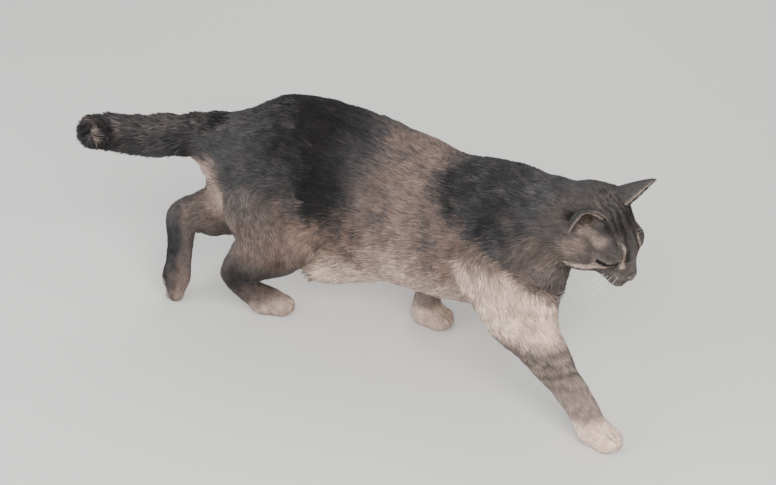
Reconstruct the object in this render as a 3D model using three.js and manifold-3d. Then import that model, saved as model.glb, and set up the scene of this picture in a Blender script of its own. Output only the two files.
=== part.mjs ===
// A life-size domestic cat walking, as a still model. Millimetres, +X forward, +Y to the cat's left, +Z up.
// One body field (swept ovals and ellipsoids, smoothly joined) is skinned region by region and parted
// with thin straight cuts. The origin is on the floor, under the middle of the model's box.

import * as THREE from 'three';
import { mergeVertices } from 'three/addons/utils/BufferGeometryUtils.js';
import Module from 'manifold-3d';

const wasm = await Module();
wasm.setup();

// ---- Driving dimensions ----

const GAP = 0.3;                    // clearance between neighbouring parts
const BACK_HEIGHT = 163;            // height of the trunk's centre line
const TRUNK_HALF_WIDTH = 77;        // at the widest ribs, coat included
const TRUNK_HALF_DEPTH = 92;        // at the deepest belly, coat included
const NECK_RADIUS = 49;
const TAIL_RADIUS = 24.5;           // a plush tail with its coat
const EYE_RADIUS = 11;
const EAR_HEIGHT = 45;
const EAR_SHEET = 3.2;              // thickness of the ear with its coat
const EAR_TAPER = 0.42;             // how much narrower the cup gets towards its tip
const FORE_PAW_LENGTH = 44;
const FORE_PAW_WIDTH = 33;
const HIND_PAW_WIDTH = 31;
const PALM_HEIGHT = 15;
const TOE_RADIUS = 8;
const TOES = 4;

// Facet sizes
const TRUNK_CELL = 24.5;
const NECK_CELL = 18.5;
const HEAD_CELL = 8.7;
const LIMB_CELL = 14.8;
const PAW_CELL = 9.6;
const TAIL_CELL = 14.6;
const EYE_SEGMENTS = [12, 7];
const NOSE_SEGMENTS = [10, 6];
const EAR_COLUMNS = 6;
const EAR_ROWS = 6;

// Straight lengths in a swept line
const SWEEP_STEPS = 40;
const TAIL_STEPS = 60;
const NOSE_BRIDGE_STEPS = 10;

// Blend lengths between neighbouring masses
const BODY_BLEND = 24;
const LIMB_BLEND = 14;
const HEAD_BLEND = 9;
const TOE_BLEND = 5;

const degrees = Math.PI / 180;
const vec = (x, y, z) => new THREE.Vector3(x, y, z);
const Y_AXIS = vec(0, 1, 0);

// ---- Frames: an origin with forward, left and up axes ----

function frameOf(origin, axes) {
  const place = (x, y, z) => origin.clone()
    .addScaledVector(axes[0], x).addScaledVector(axes[1], y).addScaledVector(axes[2], z);
  return { axes, place };
}

// Turned by yaw (to the left), then pitch (nose down), then roll, all in degrees.
function makeFrame(origin, yaw, pitch = 0, roll = 0) {
  const rotation = new THREE.Matrix4().makeRotationZ(yaw * degrees)
    .multiply(new THREE.Matrix4().makeRotationY(pitch * degrees))
    .multiply(new THREE.Matrix4().makeRotationX(roll * degrees));
  const axes = [vec(1, 0, 0), vec(0, 1, 0), vec(0, 0, 1)];
  return frameOf(origin, axes.map((axis) => axis.applyMatrix4(rotation)));
}

// Its forward axis runs from one place to another, and its left axis is near side.
function frameAlong(start, end, side) {
  const forward = end.clone().sub(start).normalize();
  const left = side.clone().addScaledVector(forward, -side.dot(forward)).normalize();
  return frameOf(start, [forward, left, forward.clone().cross(left)]);
}

const BODY_FRAME = makeFrame(vec(0, 0, 0), 0);
const HEAD_FRAME = makeFrame(vec(243, -44, 214), -22, 30, 2);

// ---- Field primitives: each returns a distance function, negative inside ----

function ellipsoid(frame, [cx, cy, cz], [rx, ry, rz], blend) {
  const centre = frame.place(cx, cy, cz);
  const [a, b, c] = frame.axes;
  const distance = (x, y, z) => {
    const px = x - centre.x;
    const py = y - centre.y;
    const pz = z - centre.z;
    const u = (px * a.x + py * a.y + pz * a.z) / rx;
    const v = (px * b.x + py * b.y + pz * b.z) / ry;
    const w = (px * c.x + py * c.y + pz * c.z) / rz;
    const level = Math.sqrt(u * u + v * v + w * w);
    const slope = Math.sqrt((u / rx) ** 2 + (v / ry) ** 2 + (w / rz) ** 2);
    return slope < 1e-9 ? -Math.min(rx, ry, rz) : (level * (level - 1)) / slope;
  };
  return { distance, blend };
}

// A tube of oval section swept along a smooth line. Stations are
// [x, y, z, half width, half height above, half height below]; side is the width's direction.
function sweep(stations, side, blend, steps = SWEEP_STEPS) {
  const line = new THREE.CatmullRomCurve3(stations.map((s) => vec(s[0], s[1], s[2])), false, 'centripetal');
  const sizeAt = (t, k) => {
    const place = t * (stations.length - 1);
    const i = Math.min(Math.floor(place), stations.length - 2);
    const f = place - i;
    const smooth = f * f * (3 - 2 * f);
    return stations[i][k] * (1 - smooth) + stations[i + 1][k] * smooth;
  };
  const samples = [];
  for (let i = 0; i <= steps; i++) {
    const t = i / steps;
    samples.push({ point: line.getPoint(t), size: [3, 4, 5].map((k) => sizeAt(t, k)) });
  }
  const pieces = [];
  for (let i = 0; i < steps; i++) {
    const start = samples[i].point;
    const along = samples[i + 1].point.clone().sub(start);
    const length = along.length();
    const tangent = along.clone().divideScalar(length);
    const across = side.clone().addScaledVector(tangent, -side.dot(tangent)).normalize();
    const above = tangent.clone().cross(across);
    pieces.push({ start, tangent, across, above, length, from: samples[i].size, to: samples[i + 1].size });
  }
  const distance = (x, y, z) => {
    let nearest = Infinity;
    let found = null;
    let foundAlong = 0;
    for (const piece of pieces) {
      const px = x - piece.start.x;
      const py = y - piece.start.y;
      const pz = z - piece.start.z;
      const raw = px * piece.tangent.x + py * piece.tangent.y + pz * piece.tangent.z;
      const along = Math.min(Math.max(raw, 0), piece.length);
      const qx = px - piece.tangent.x * along;
      const qy = py - piece.tangent.y * along;
      const qz = pz - piece.tangent.z * along;
      const square = qx * qx + qy * qy + qz * qz;
      if (square < nearest) {
        nearest = square;
        found = piece;
        foundAlong = along;
      }
    }
    const f = foundAlong / found.length;
    const [width, upper, lower] = found.from.map((size, k) => size * (1 - f) + found.to[k] * f);
    const px = x - found.start.x - found.tangent.x * foundAlong;
    const py = y - found.start.y - found.tangent.y * foundAlong;
    const pz = z - found.start.z - found.tangent.z * foundAlong;
    const s = px * found.across.x + py * found.across.y + pz * found.across.z;
    const u = px * found.above.x + py * found.above.y + pz * found.above.z;
    const a = px * found.tangent.x + py * found.tangent.y + pz * found.tangent.z;
    const height = u > 0 ? upper : lower;
    const level = Math.sqrt((s / width) ** 2 + (u / height) ** 2 + (a / Math.min(width, height)) ** 2);
    const radius = Math.sqrt(nearest);
    return level < 1e-6 ? -Math.min(width, height) : radius - radius / level;
  };
  return { distance, blend };
}

function smoothMin(a, b, k) {
  const h = Math.max(k - Math.abs(a - b), 0) / k;
  return Math.min(a, b) - h * h * k * 0.25;
}

// ---- The masses of the body ----

// Trunk: rump to breast, bent a little to the cat's right.
const trunkStations = [
  [-200, 10, 192, 30, 34, 40],
  [-182, 18, 186, 54, 71, 62],
  [-150, 29, 177, 69, 95, 78],
  [-100, 37, 168, TRUNK_HALF_WIDTH - 3, 98, 87],
  [-45, 38, BACK_HEIGHT, TRUNK_HALF_WIDTH, TRUNK_HALF_DEPTH, TRUNK_HALF_DEPTH + 3],
  [15, 26, BACK_HEIGHT, TRUNK_HALF_WIDTH, TRUNK_HALF_DEPTH - 13, 102],
  [70, 5, 164, 74, 69, 97],
  [115, -17, 168, 68, 79, 90],
  [150, -34, 174, 58, 75, 68],
];
const trunk = sweep(trunkStations, Y_AXIS, BODY_BLEND);
const breast = ellipsoid(BODY_FRAME, [180, -60, 138], [40, 36, 46], BODY_BLEND);
const pouch = ellipsoid(BODY_FRAME, [-62, 36, 80], [61, 42, 38], BODY_BLEND);
const pouchFold = ellipsoid(BODY_FRAME, [-84, 20, 73], [20, 28, 34], LIMB_BLEND);
const breech = ellipsoid(BODY_FRAME, [-210, 46, 140], [28, 24, 34], BODY_BLEND);

const neckStations = [
  [110, -18, 182, 58, 60, 60],
  [160, -36, 194, NECK_RADIUS + 4, NECK_RADIUS + 19, NECK_RADIUS + 10],
  [203, -46, 208, NECK_RADIUS - 3, NECK_RADIUS + 5, NECK_RADIUS],
  [228, -47, 214, 40, 45, 37],
];
const neck = sweep(neckStations, Y_AXIS, BODY_BLEND);

// Tail: straight back, drooping slightly, its end curled round towards the cat's right.
const tailStations = [
  [-180, 22, 218, 30, 31, 28],
  [-222, 18, 215, TAIL_RADIUS + 1, TAIL_RADIUS + 3, TAIL_RADIUS + 1],
  [-270, 10, 209, TAIL_RADIUS, TAIL_RADIUS, TAIL_RADIUS],
  [-315, 3, 206, TAIL_RADIUS - 1, TAIL_RADIUS - 1, TAIL_RADIUS - 1],
  [-344, -6, 210, TAIL_RADIUS - 3, TAIL_RADIUS - 3, TAIL_RADIUS - 3],
  [-352, -29, 219, TAIL_RADIUS - 5, TAIL_RADIUS - 5, TAIL_RADIUS - 5],
  [-337, -45, 222, TAIL_RADIUS - 8, TAIL_RADIUS - 8, TAIL_RADIUS - 8],
  [-319, -50, 215, TAIL_RADIUS - 13, TAIL_RADIUS - 13, TAIL_RADIUS - 13],
];
const tail = sweep(tailStations, Y_AXIS, LIMB_BLEND, TAIL_STEPS);

// Limbs: [x, y, z, half width, half depth in front, half depth behind] from the body to the toes.
const foreLegs = {
  right: [
    [98, -40, 205, 22, 34, 34],
    [136, -64, 160, 34, 58, 46],
    [174, -92, 118, 30, 49, 40],
    [206, -109, 86, 22, 30, 23],
    [238, -124, 58, 17, 23, 17],
    [263, -133, 32, 16.5, 18, 15.5],
  ],
  left: [
    [98, 18, 205, 22, 34, 34],
    [104, 38, 165, 32, 36, 40],
    [78, 46, 126, 26, 28, 28],
    [58, 42, 88, 19, 19, 20],
    [43, 36, 56, 16.5, 16, 16],
    [37, 32, 30, 16, 15, 15],
  ],
};
const hindLegs = {
  right: [
    [-158, -2, 186, 36, 52, 46],
    [-136, -20, 148, 38, 54, 60],
    [-116, -30, 112, 32, 34, 56],
    [-148, -30, 86, 24, 24, 38],
    [-180, -28, 64, 16.5, 17, 17],
    [-172, -20, 42, 15.5, 15, 16],
    [-154, -10, 20, 16, 14, 15],
  ],
  left: [
    [-158, 56, 186, 36, 50, 46],
    [-172, 66, 148, 38, 46, 48],
    [-190, 64, 117, 31, 44, 36],
    [-230, 44, 99, 24, 36, 27],
    [-264, 25, 97, 16.5, 19, 21],
    [-264, 13, 68, 15.5, 15, 18.5],
    [-263, -3, 38, 15.5, 15, 16],
  ],
};

function limb(stations) {
  return sweep(stations, Y_AXIS, LIMB_BLEND);
}

// A paw in its own frame: a palm with its toes in an arc, x forward along the foot.
function paw(frame, width, length) {
  const palmSize = [length * 0.45, width / 2, PALM_HEIGHT];
  const parts = [ellipsoid(frame, [0, 0, PALM_HEIGHT - 2], palmSize, LIMB_BLEND)];
  const outermost = (TOES - 1) / 2;
  const toeReach = 0.46;
  const toeArc = 0.1;
  for (let i = 0; i < TOES; i++) {
    const across = (i - outermost) / outermost;
    const forward = length * (toeReach - toeArc * across * across);
    const sideways = across * (width / 2 - TOE_RADIUS + 1);
    const toeSize = [TOE_RADIUS * 1.45, TOE_RADIUS, TOE_RADIUS + 1];
    parts.push(ellipsoid(frame, [forward, sideways, TOE_RADIUS - 0.5], toeSize, TOE_BLEND));
  }
  return parts;
}

const pawFrames = {
  foreRight: makeFrame(vec(275, -134, 0), -16),
  foreLeft: makeFrame(vec(39, 32, 0), -4),
  hindRight: makeFrame(vec(-149, -3, 0), 14),
  hindLeft: makeFrame(vec(-276.5, -13, 23), 12, 80),
};

// Head masses, in the head's own frame (forward, left, up from the middle of the skull).
const headParts = [
  ellipsoid(HEAD_FRAME, [-2, 0, 9], [42, 39, 32.5], HEAD_BLEND),
  ellipsoid(HEAD_FRAME, [26, 0, 2], [28, 30, 23], HEAD_BLEND),
  ellipsoid(HEAD_FRAME, [18, 0, -19], [37, 28, 19], HEAD_BLEND),
  ellipsoid(HEAD_FRAME, [45, 0, -19], [18, 18, 14], HEAD_BLEND),
  ellipsoid(HEAD_FRAME, [51, 0, -31], [12, 11, 8], HEAD_BLEND - 3),
];
for (const side of [-1, 1]) {
  headParts.push(ellipsoid(HEAD_FRAME, [6, 27 * side, -10], [29, 26, 26], HEAD_BLEND + 4));
  headParts.push(ellipsoid(HEAD_FRAME, [52, 9 * side, -23], [12.5, 11, 9.5], HEAD_BLEND - 4));
  headParts.push(ellipsoid(HEAD_FRAME, [32, 16 * side, 9], [11.5, 11.5, 8], HEAD_BLEND - 2));
  headParts.push(ellipsoid(HEAD_FRAME, [-4, 27 * side, 20], [11, 13, 13], HEAD_BLEND + 2));
}
const noseBridgeLine = [[24, 0, 14], [42, 0, 3], [56, 0, -10]].map(([x, y, z], i) => {
  const p = HEAD_FRAME.place(x, y, z);
  const radius = [15, 11.5, 8][i];
  return [p.x, p.y, p.z, radius, radius, radius];
});
headParts.push(sweep(noseBridgeLine, HEAD_FRAME.axes[1], HEAD_BLEND, NOSE_BRIDGE_STEPS));

const bodyParts = [trunk, breast, pouch, pouchFold, breech, neck, ...headParts, tail];
for (const stations of [foreLegs.right, foreLegs.left, hindLegs.right, hindLegs.left]) {
  bodyParts.push(limb(stations));
}
bodyParts.push(...paw(pawFrames.foreRight, FORE_PAW_WIDTH, FORE_PAW_LENGTH));
bodyParts.push(...paw(pawFrames.foreLeft, FORE_PAW_WIDTH, FORE_PAW_LENGTH));
bodyParts.push(...paw(pawFrames.hindRight, HIND_PAW_WIDTH, FORE_PAW_LENGTH));
bodyParts.push(...paw(pawFrames.hindLeft, HIND_PAW_WIDTH, FORE_PAW_LENGTH - 6));

function bodyField(x, y, z) {
  let value = 1e3;
  for (const part of bodyParts) value = smoothMin(value, part.distance(x, y, z), part.blend);
  return value;
}

// ---- Surface nets: one vertex in each cell that the surface crosses ----

function skinField(field, low, high, cell) {
  const counts = ['x', 'y', 'z'].map((k) => Math.ceil((high[k] - low[k]) / cell) + 1);
  const [nx, ny, nz] = counts;
  const index = (i, j, k) => (k * ny + j) * nx + i;
  const values = new Float64Array(nx * ny * nz);
  for (let k = 0; k < nz; k++) {
    for (let j = 0; j < ny; j++) {
      for (let i = 0; i < nx; i++) {
        const border = i === 0 || j === 0 || k === 0 || i === nx - 1 || j === ny - 1 || k === nz - 1;
        const value = field(low.x + i * cell, low.y + j * cell, low.z + k * cell);
        values[index(i, j, k)] = border ? Math.max(value, 0.2 * cell) : value;
      }
    }
  }
  const cellVertex = new Int32Array(nx * ny * nz).fill(-1);
  const positions = [];
  const corners = [0, 1, 2, 3, 4, 5, 6, 7].map((n) => [n & 1, (n >> 1) & 1, (n >> 2) & 1]);
  for (let k = 0; k < nz - 1; k++) {
    for (let j = 0; j < ny - 1; j++) {
      for (let i = 0; i < nx - 1; i++) {
        const v = corners.map(([a, b, c]) => values[index(i + a, j + b, k + c)]);
        const inside = v.filter((d) => d < 0).length;
        if (inside === 0 || inside === 8) continue;
        const sum = [0, 0, 0];
        let crossings = 0;
        for (let a = 0; a < 8; a++) {
          for (const bit of [1, 2, 4]) {
            const b = a | bit;
            if (b === a || (v[a] < 0) === (v[b] < 0)) continue;
            const t = v[a] / (v[a] - v[b]);
            for (let axis = 0; axis < 3; axis++) {
              sum[axis] += corners[a][axis] + t * (corners[b][axis] - corners[a][axis]);
            }
            crossings += 1;
          }
        }
        cellVertex[index(i, j, k)] = positions.length / 3;
        positions.push(
          low.x + (i + sum[0] / crossings) * cell,
          low.y + (j + sum[1] / crossings) * cell,
          low.z + (k + sum[2] / crossings) * cell,
        );
      }
    }
  }
  // Slide each vertex onto the true surface, staying inside its own cell's neighbourhood.
  const probe = 0.5;
  const slideRounds = 4;
  const flattestSlope = 0.09;
  const longestSlide = 0.45 * cell;
  for (let n = 0; n < positions.length; n += 3) {
    const start = positions.slice(n, n + 3);
    let [x, y, z] = start;
    for (let round = 0; round < slideRounds; round++) {
      const value = field(x, y, z);
      const gx = (field(x + probe, y, z) - field(x - probe, y, z)) / (2 * probe);
      const gy = (field(x, y + probe, z) - field(x, y - probe, z)) / (2 * probe);
      const gz = (field(x, y, z + probe) - field(x, y, z - probe)) / (2 * probe);
      const slope = Math.max(gx * gx + gy * gy + gz * gz, flattestSlope);
      x -= (value * gx) / slope;
      y -= (value * gy) / slope;
      z -= (value * gz) / slope;
    }
    const moved = Math.hypot(x - start[0], y - start[1], z - start[2]);
    const keep = Math.min(1, longestSlide / Math.max(moved, 1e-6));
    [x, y, z].forEach((value, axis) => {
      positions[n + axis] = start[axis] + (value - start[axis]) * keep;
    });
  }
  const indices = [];
  const distance = (a, b) => Math.hypot(
    positions[3 * a] - positions[3 * b],
    positions[3 * a + 1] - positions[3 * b + 1],
    positions[3 * a + 2] - positions[3 * b + 2],
  );
  const addQuad = (a, b, c, d, flip) => {
    const ring = flip ? [d, c, b, a] : [a, b, c, d];
    if (distance(ring[0], ring[2]) < distance(ring[1], ring[3])) {
      indices.push(ring[0], ring[1], ring[2], ring[0], ring[2], ring[3]);
    } else {
      indices.push(ring[1], ring[2], ring[3], ring[1], ring[3], ring[0]);
    }
  };
  for (let k = 0; k < nz - 1; k++) {
    for (let j = 0; j < ny - 1; j++) {
      for (let i = 0; i < nx - 1; i++) {
        const here = values[index(i, j, k)] < 0;
        const cellAt = (a, b, c) => cellVertex[index(i + a, j + b, k + c)];
        if (j && k && here !== values[index(i + 1, j, k)] < 0) {
          addQuad(cellAt(0, -1, -1), cellAt(0, 0, -1), cellAt(0, 0, 0), cellAt(0, -1, 0), !here);
        }
        if (i && k && here !== values[index(i, j + 1, k)] < 0) {
          addQuad(cellAt(-1, 0, -1), cellAt(-1, 0, 0), cellAt(0, 0, 0), cellAt(0, 0, -1), !here);
        }
        if (i && j && here !== values[index(i, j, k + 1)] < 0) {
          addQuad(cellAt(-1, -1, 0), cellAt(0, -1, 0), cellAt(0, 0, 0), cellAt(-1, 0, 0), !here);
        }
      }
    }
  }
  return toManifold(Float32Array.from(positions), Uint32Array.from(indices));
}

// ---- Solids, boxes and cuts ----

function toManifold(vertProperties, triVerts) {
  return new wasm.Manifold(new wasm.Mesh({ numProp: 3, vertProperties, triVerts }));
}

function solidOf(geometry) {
  const plain = geometry.index ? geometry.toNonIndexed() : geometry.clone();
  plain.deleteAttribute('normal');
  plain.deleteAttribute('uv');
  const { attributes, index } = mergeVertices(plain, 1e-4);
  return toManifold(Float32Array.from(attributes.position.array), Uint32Array.from(index.array));
}

// Joins corners that a cut left closer together than a tolerance, and drops what collapses.
function weld(solid, tolerance = 0.06) {
  const { vertProperties: spots, triVerts } = solid.getMesh();
  const owner = Array.from({ length: spots.length / 3 }, (_, n) => n);
  const find = (n) => {
    while (owner[n] !== n) n = owner[n];
    return n;
  };
  const length = (a, b) => Math.hypot(
    spots[3 * a] - spots[3 * b],
    spots[3 * a + 1] - spots[3 * b + 1],
    spots[3 * a + 2] - spots[3 * b + 2],
  );
  for (let n = 0; n < triVerts.length; n++) {
    const next = n % 3 === 2 ? n - 2 : n + 1;
    const [a, b] = [triVerts[n], triVerts[next]];
    if (a < b && length(a, b) < tolerance) owner[find(b)] = find(a);
  }
  const kept = new Map();
  for (let n = 0; n < triVerts.length; n += 3) {
    const face = [0, 1, 2].map((k) => find(triVerts[n + k]));
    if (new Set(face).size < 3) continue;
    const key = [...face].sort((a, b) => a - b).join();
    if (kept.has(key)) kept.delete(key);
    else kept.set(key, face);
  }
  const used = [...new Set([...kept.values()].flat())];
  const renumber = new Map(used.map((n, place) => [n, place]));
  const positions = used.flatMap((n) => [spots[3 * n], spots[3 * n + 1], spots[3 * n + 2]]);
  const indices = [...kept.values()].flat().map((n) => renumber.get(n));
  return toManifold(Float32Array.from(positions), Uint32Array.from(indices));
}

const SAME_SPOT = 0.002;

// Where two sheets of one surface share a corner, each draws back a little towards its own faces.
function openPinches(solid, step = 0.12) {
  const { vertProperties: spots, triVerts } = solid.getMesh();
  const sharers = new Map();
  for (let n = 0; n < spots.length / 3; n++) {
    const key = [0, 1, 2].map((k) => Math.round(spots[3 * n + k] / SAME_SPOT)).join();
    sharers.set(key, [...(sharers.get(key) ?? []), n]);
  }
  for (const group of sharers.values()) {
    if (group.length < 2) continue;
    for (const n of group) {
      const here = vec(...spots.slice(3 * n, 3 * n + 3));
      const pull = vec(0, 0, 0);
      for (let t = 0; t < triVerts.length; t += 3) {
        const face = triVerts.slice(t, t + 3);
        if (!face.includes(n)) continue;
        for (const other of face) pull.add(vec(...spots.slice(3 * other, 3 * other + 3)).sub(here));
      }
      here.add(pull.setLength(step)).toArray(spots, 3 * n);
    }
  }
  return toManifold(spots, triVerts);
}

// A block given by its low and high corners in a frame, grown on every side by spare.
function block(region, spare = 0) {
  const middle = region.low.map((low, k) => (low + region.high[k]) / 2);
  const size = region.low.map((low, k) => region.high[k] - low + 2 * spare);
  const geometry = new THREE.BoxGeometry(...size);
  const matrix = new THREE.Matrix4().makeBasis(...region.frame.axes);
  geometry.applyMatrix4(matrix.setPosition(region.frame.place(...middle)));
  return geometry;
}

// ---- Ears: a cupped sheet lofted from its base to a rounded tip ----

// Each ear's base edges and tip, in the head's frame. The left ear is pricked forward and the
// right one is turned out and back. The tips lie EAR_HEIGHT from the middle of the base.
const earPlaces = {
  left: { inner: [2, 12, 38], outer: [8, 43, 12], lean: [10, 13, 44] },
  right: { inner: [14, -14, 30], outer: [-5, -45, 5], lean: [-6, -22, 36] },
};

function earGeometry(name) {
  const side = name === 'left' ? 1 : -1;
  const inner = vec(...earPlaces[name].inner);
  const outer = vec(...earPlaces[name].outer);
  const lean = vec(...earPlaces[name].lean).setLength(EAR_HEIGHT);
  const tip = inner.clone().add(outer).multiplyScalar(0.5).add(lean);
  const back = vec(-21, 2 * side, 6);
  const positions = [];
  const ringLength = 2 * (EAR_COLUMNS + 1);
  const tipWidth = 0.03;
  const tipRoundness = 2.2;
  const thinnest = 0.6;
  for (let row = 0; row <= EAR_ROWS; row++) {
    const v = row / EAR_ROWS;
    const narrowing = Math.sqrt(1 - v ** tipRoundness) * (1 - tipWidth) + tipWidth;
    const middle = inner.clone().add(outer).multiplyScalar(0.5 * (1 - v)).addScaledVector(tip, v);
    const half = inner.clone().sub(outer).multiplyScalar(0.5 * narrowing * (1 - EAR_TAPER * v));
    const bulge = back.clone().multiplyScalar(narrowing * (1 - 0.6 * v));
    const sheet = EAR_SHEET * (1 - 0.35 * v);
    for (const layer of [1, -1]) {
      for (let n = 0; n <= EAR_COLUMNS; n++) {
        const u = layer > 0 ? n / EAR_COLUMNS : 1 - n / EAR_COLUMNS;
        const turn = Math.PI * u;
        const shrink = layer > 0 ? 0 : sheet;
        const scaleHalf = 1 - shrink / Math.max(half.length(), sheet + thinnest);
        const scaleBack = 1 - shrink / Math.max(bulge.length(), sheet + thinnest);
        const point = middle.clone()
          .addScaledVector(half, Math.cos(turn) * scaleHalf)
          .addScaledVector(bulge, Math.sin(turn) * scaleBack);
        positions.push(...HEAD_FRAME.place(point.x, point.y, point.z).toArray());
      }
    }
  }
  const indices = [];
  const corner = (row, n) => row * ringLength + (n % ringLength);
  const face = (a, b, c) => indices.push(...(side > 0 ? [a, c, b] : [a, b, c]));
  for (let row = 0; row < EAR_ROWS; row++) {
    for (let n = 0; n < ringLength; n++) {
      face(corner(row, n), corner(row, n + 1), corner(row + 1, n + 1));
      face(corner(row, n), corner(row + 1, n + 1), corner(row + 1, n));
    }
  }
  for (let n = 0; n < EAR_COLUMNS; n++) {
    const mirror = ringLength - 1 - n;
    face(corner(0, n), corner(0, mirror), corner(0, mirror - 1));
    face(corner(0, n), corner(0, mirror - 1), corner(0, n + 1));
    face(corner(EAR_ROWS, n), corner(EAR_ROWS, mirror - 1), corner(EAR_ROWS, mirror));
    face(corner(EAR_ROWS, n), corner(EAR_ROWS, n + 1), corner(EAR_ROWS, mirror - 1));
  }
  const geometry = new THREE.BufferGeometry();
  geometry.setAttribute('position', new THREE.Float32BufferAttribute(positions, 3));
  geometry.setIndex(indices);
  return geometry;
}

// ---- Eyes and nose leather ----

const EYE_PLACE = [36, 20, 3.5];
const NOSE_PLACE = [61.5, 0, -16];
const NOSE_SIZE = [6.5, 7.5, 5.5];

function eyeGeometry(side, radius) {
  const geometry = new THREE.SphereGeometry(radius, ...EYE_SEGMENTS);
  const [x, y, z] = EYE_PLACE;
  const place = HEAD_FRAME.place(x, y * side, z);
  return geometry.translate(place.x, place.y, place.z);
}

function noseGeometry(spare) {
  const geometry = new THREE.SphereGeometry(1, ...NOSE_SEGMENTS);
  geometry.scale(...NOSE_SIZE.map((r) => r + spare));
  const matrix = new THREE.Matrix4().makeBasis(...HEAD_FRAME.axes);
  return geometry.applyMatrix4(matrix.setPosition(HEAD_FRAME.place(...NOSE_PLACE)));
}

// ---- Regions: each part is the body inside its block, less the blocks listed before it ----

const at = (station) => vec(station[0], station[1], station[2]);

// A block along a limb from one station to another, reaching past both ends by low[0] and high[0].
function limbRegion(name, from, to, low, high, cell) {
  const length = at(from).distanceTo(at(to));
  const frame = frameAlong(at(from), at(to), Y_AXIS);
  return { name, frame, low, high: [length + high[0], high[1], high[2]], cell };
}

const regions = [];
for (const side of ['right', 'left']) {
  const [inner, outer] = side === 'right' ? [-62, 20] : [-20, 62];
  const fore = foreLegs[side];
  const hind = hindLegs[side];
  regions.push(
    limbRegion(`forepaw_${side}`, fore[4], fore[5], [24, -40, -40], [60, 40, 40], PAW_CELL),
    limbRegion(`forearm_${side}`, fore[2], fore[4], [14, -45, -45], [50, 45, 45], LIMB_CELL),
    limbRegion(`upper_foreleg_${side}`, fore[0], fore[2], [14, inner, -52], [44, outer, 56], NECK_CELL),
    limbRegion(`hind_foot_${side}`, hind[4], hind[6], [-6, -32, -34], [60, 32, 34], PAW_CELL),
    limbRegion(`shank_${side}`, hind[2], hind[4], [10, -40, -44], [40, 40, 44], LIMB_CELL),
    limbRegion(`thigh_${side}`, hind[0], hind[2], [6, inner, -64], [50, outer, 48], NECK_CELL),
  );
}
const headCut = makeFrame(vec(208, -46, 205), -18, 12);
const neckCut = makeFrame(vec(152, -34, 185), -14, -8);
const tipCut = makeFrame(vec(-333, 30, 210), 197);
regions.push(
  { name: 'head', frame: headCut, low: [0, -100, -72], high: [160, 100, 110], cell: HEAD_CELL },
  { name: 'neck', frame: neckCut, low: [0, -76, -70], high: [90, 90, 80], cell: NECK_CELL },
  { name: 'tail_tip', frame: tipCut, low: [0, -60, -50], high: [110, 150, 60], cell: TAIL_CELL },
);
const tailCuts = [-400, -292, -248, -206];
['tail_end', 'tail_middle', 'tail_root'].forEach((name, n) => {
  const low = [tailCuts[n], -30, 175];
  regions.push({ name, frame: BODY_FRAME, low, high: [tailCuts[n + 1], 60, 260], cell: TAIL_CELL });
});
const trunkCuts = [-260, -110, 45, 200];
['rump', 'belly', 'chest'].forEach((name, n) => {
  const low = [trunkCuts[n], -150, 20];
  regions.push({ name, frame: BODY_FRAME, low, high: [trunkCuts[n + 1], 160, 300], cell: TRUNK_CELL });
});

const aboveFloor = solidOf(block({ frame: BODY_FRAME, low: [-900, -900, 0], high: [900, 900, 900] }));

function skinRegion(region, spare = 0) {
  const box = new THREE.Box3().setFromBufferAttribute(block(region).attributes.position);
  box.expandByScalar(1.6 * region.cell);
  return skinField((x, y, z) => bodyField(x, y, z) - spare, box.min, box.max, region.cell);
}

const solids = {};
regions.forEach((region, n) => {
  let solid = skinRegion(region).intersect(solidOf(block(region))).intersect(aboveFloor);
  for (const earlier of regions.slice(0, n)) {
    solid = solid.subtract(solidOf(block(earlier, GAP)));
  }
  solids[region.name] = solid;
});

// Ears, eyes and nose leather sit in or on the head, clear of it by the gap.
const clearOfHead = skinRegion(regions.find((region) => region.name === 'head'), GAP);
for (const [name, side] of [['right', -1], ['left', 1]]) {
  const ear = solidOf(earGeometry(name));
  solids[`ear_${name}`] = ear.subtract(clearOfHead).subtract(solids.head);
  solids.head = solids.head.subtract(solidOf(eyeGeometry(side, EYE_RADIUS + GAP)));
  solids[`eye_${name}`] = solidOf(eyeGeometry(side, EYE_RADIUS));
}
solids.head = solids.head.subtract(solidOf(noseGeometry(GAP)));
solids.nose = solidOf(noseGeometry(0));

// ---- The model ----

const finishes = {
  coat: { color: 0x85807e, roughness: 0.92, metalness: 0 },
  paleCoat: { color: 0xb9b0aa, roughness: 0.92, metalness: 0 },
  noseLeather: { color: 0x8b7276, roughness: 0.55, metalness: 0 },
  eye: { color: 0xa39a4e, roughness: 0.08, metalness: 0 },
};

function finishOf(name) {
  if (name.startsWith('eye')) return finishes.eye;
  if (name === 'nose') return finishes.noseLeather;
  return /paw|foot|belly/.test(name) ? finishes.paleCoat : finishes.coat;
}

const cat = new THREE.Group();
for (const [name, solid] of Object.entries(solids)) {
  const mesh = openPinches(weld(solid)).getMesh();
  const geometry = new THREE.BufferGeometry();
  geometry.setAttribute('position', new THREE.BufferAttribute(mesh.vertProperties, 3));
  geometry.setIndex(new THREE.BufferAttribute(mesh.triVerts, 1));
  const piece = new THREE.Mesh(geometry, new THREE.MeshStandardMaterial(finishOf(name)));
  piece.name = name;
  cat.add(piece);
}

const bounds = new THREE.Box3().setFromObject(cat);
const middle = bounds.getCenter(vec(0, 0, 0));
cat.position.set(-middle.x, -middle.y, -bounds.min.z);

export default cat;
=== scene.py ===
# The looks of the walking cat: one skin, its coat of tufts, eyes, nose, pads, whiskers and claws.
# Lengths are worked in millimetres in the body's own frame and turned to metres when a mesh is made.

import math

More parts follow.
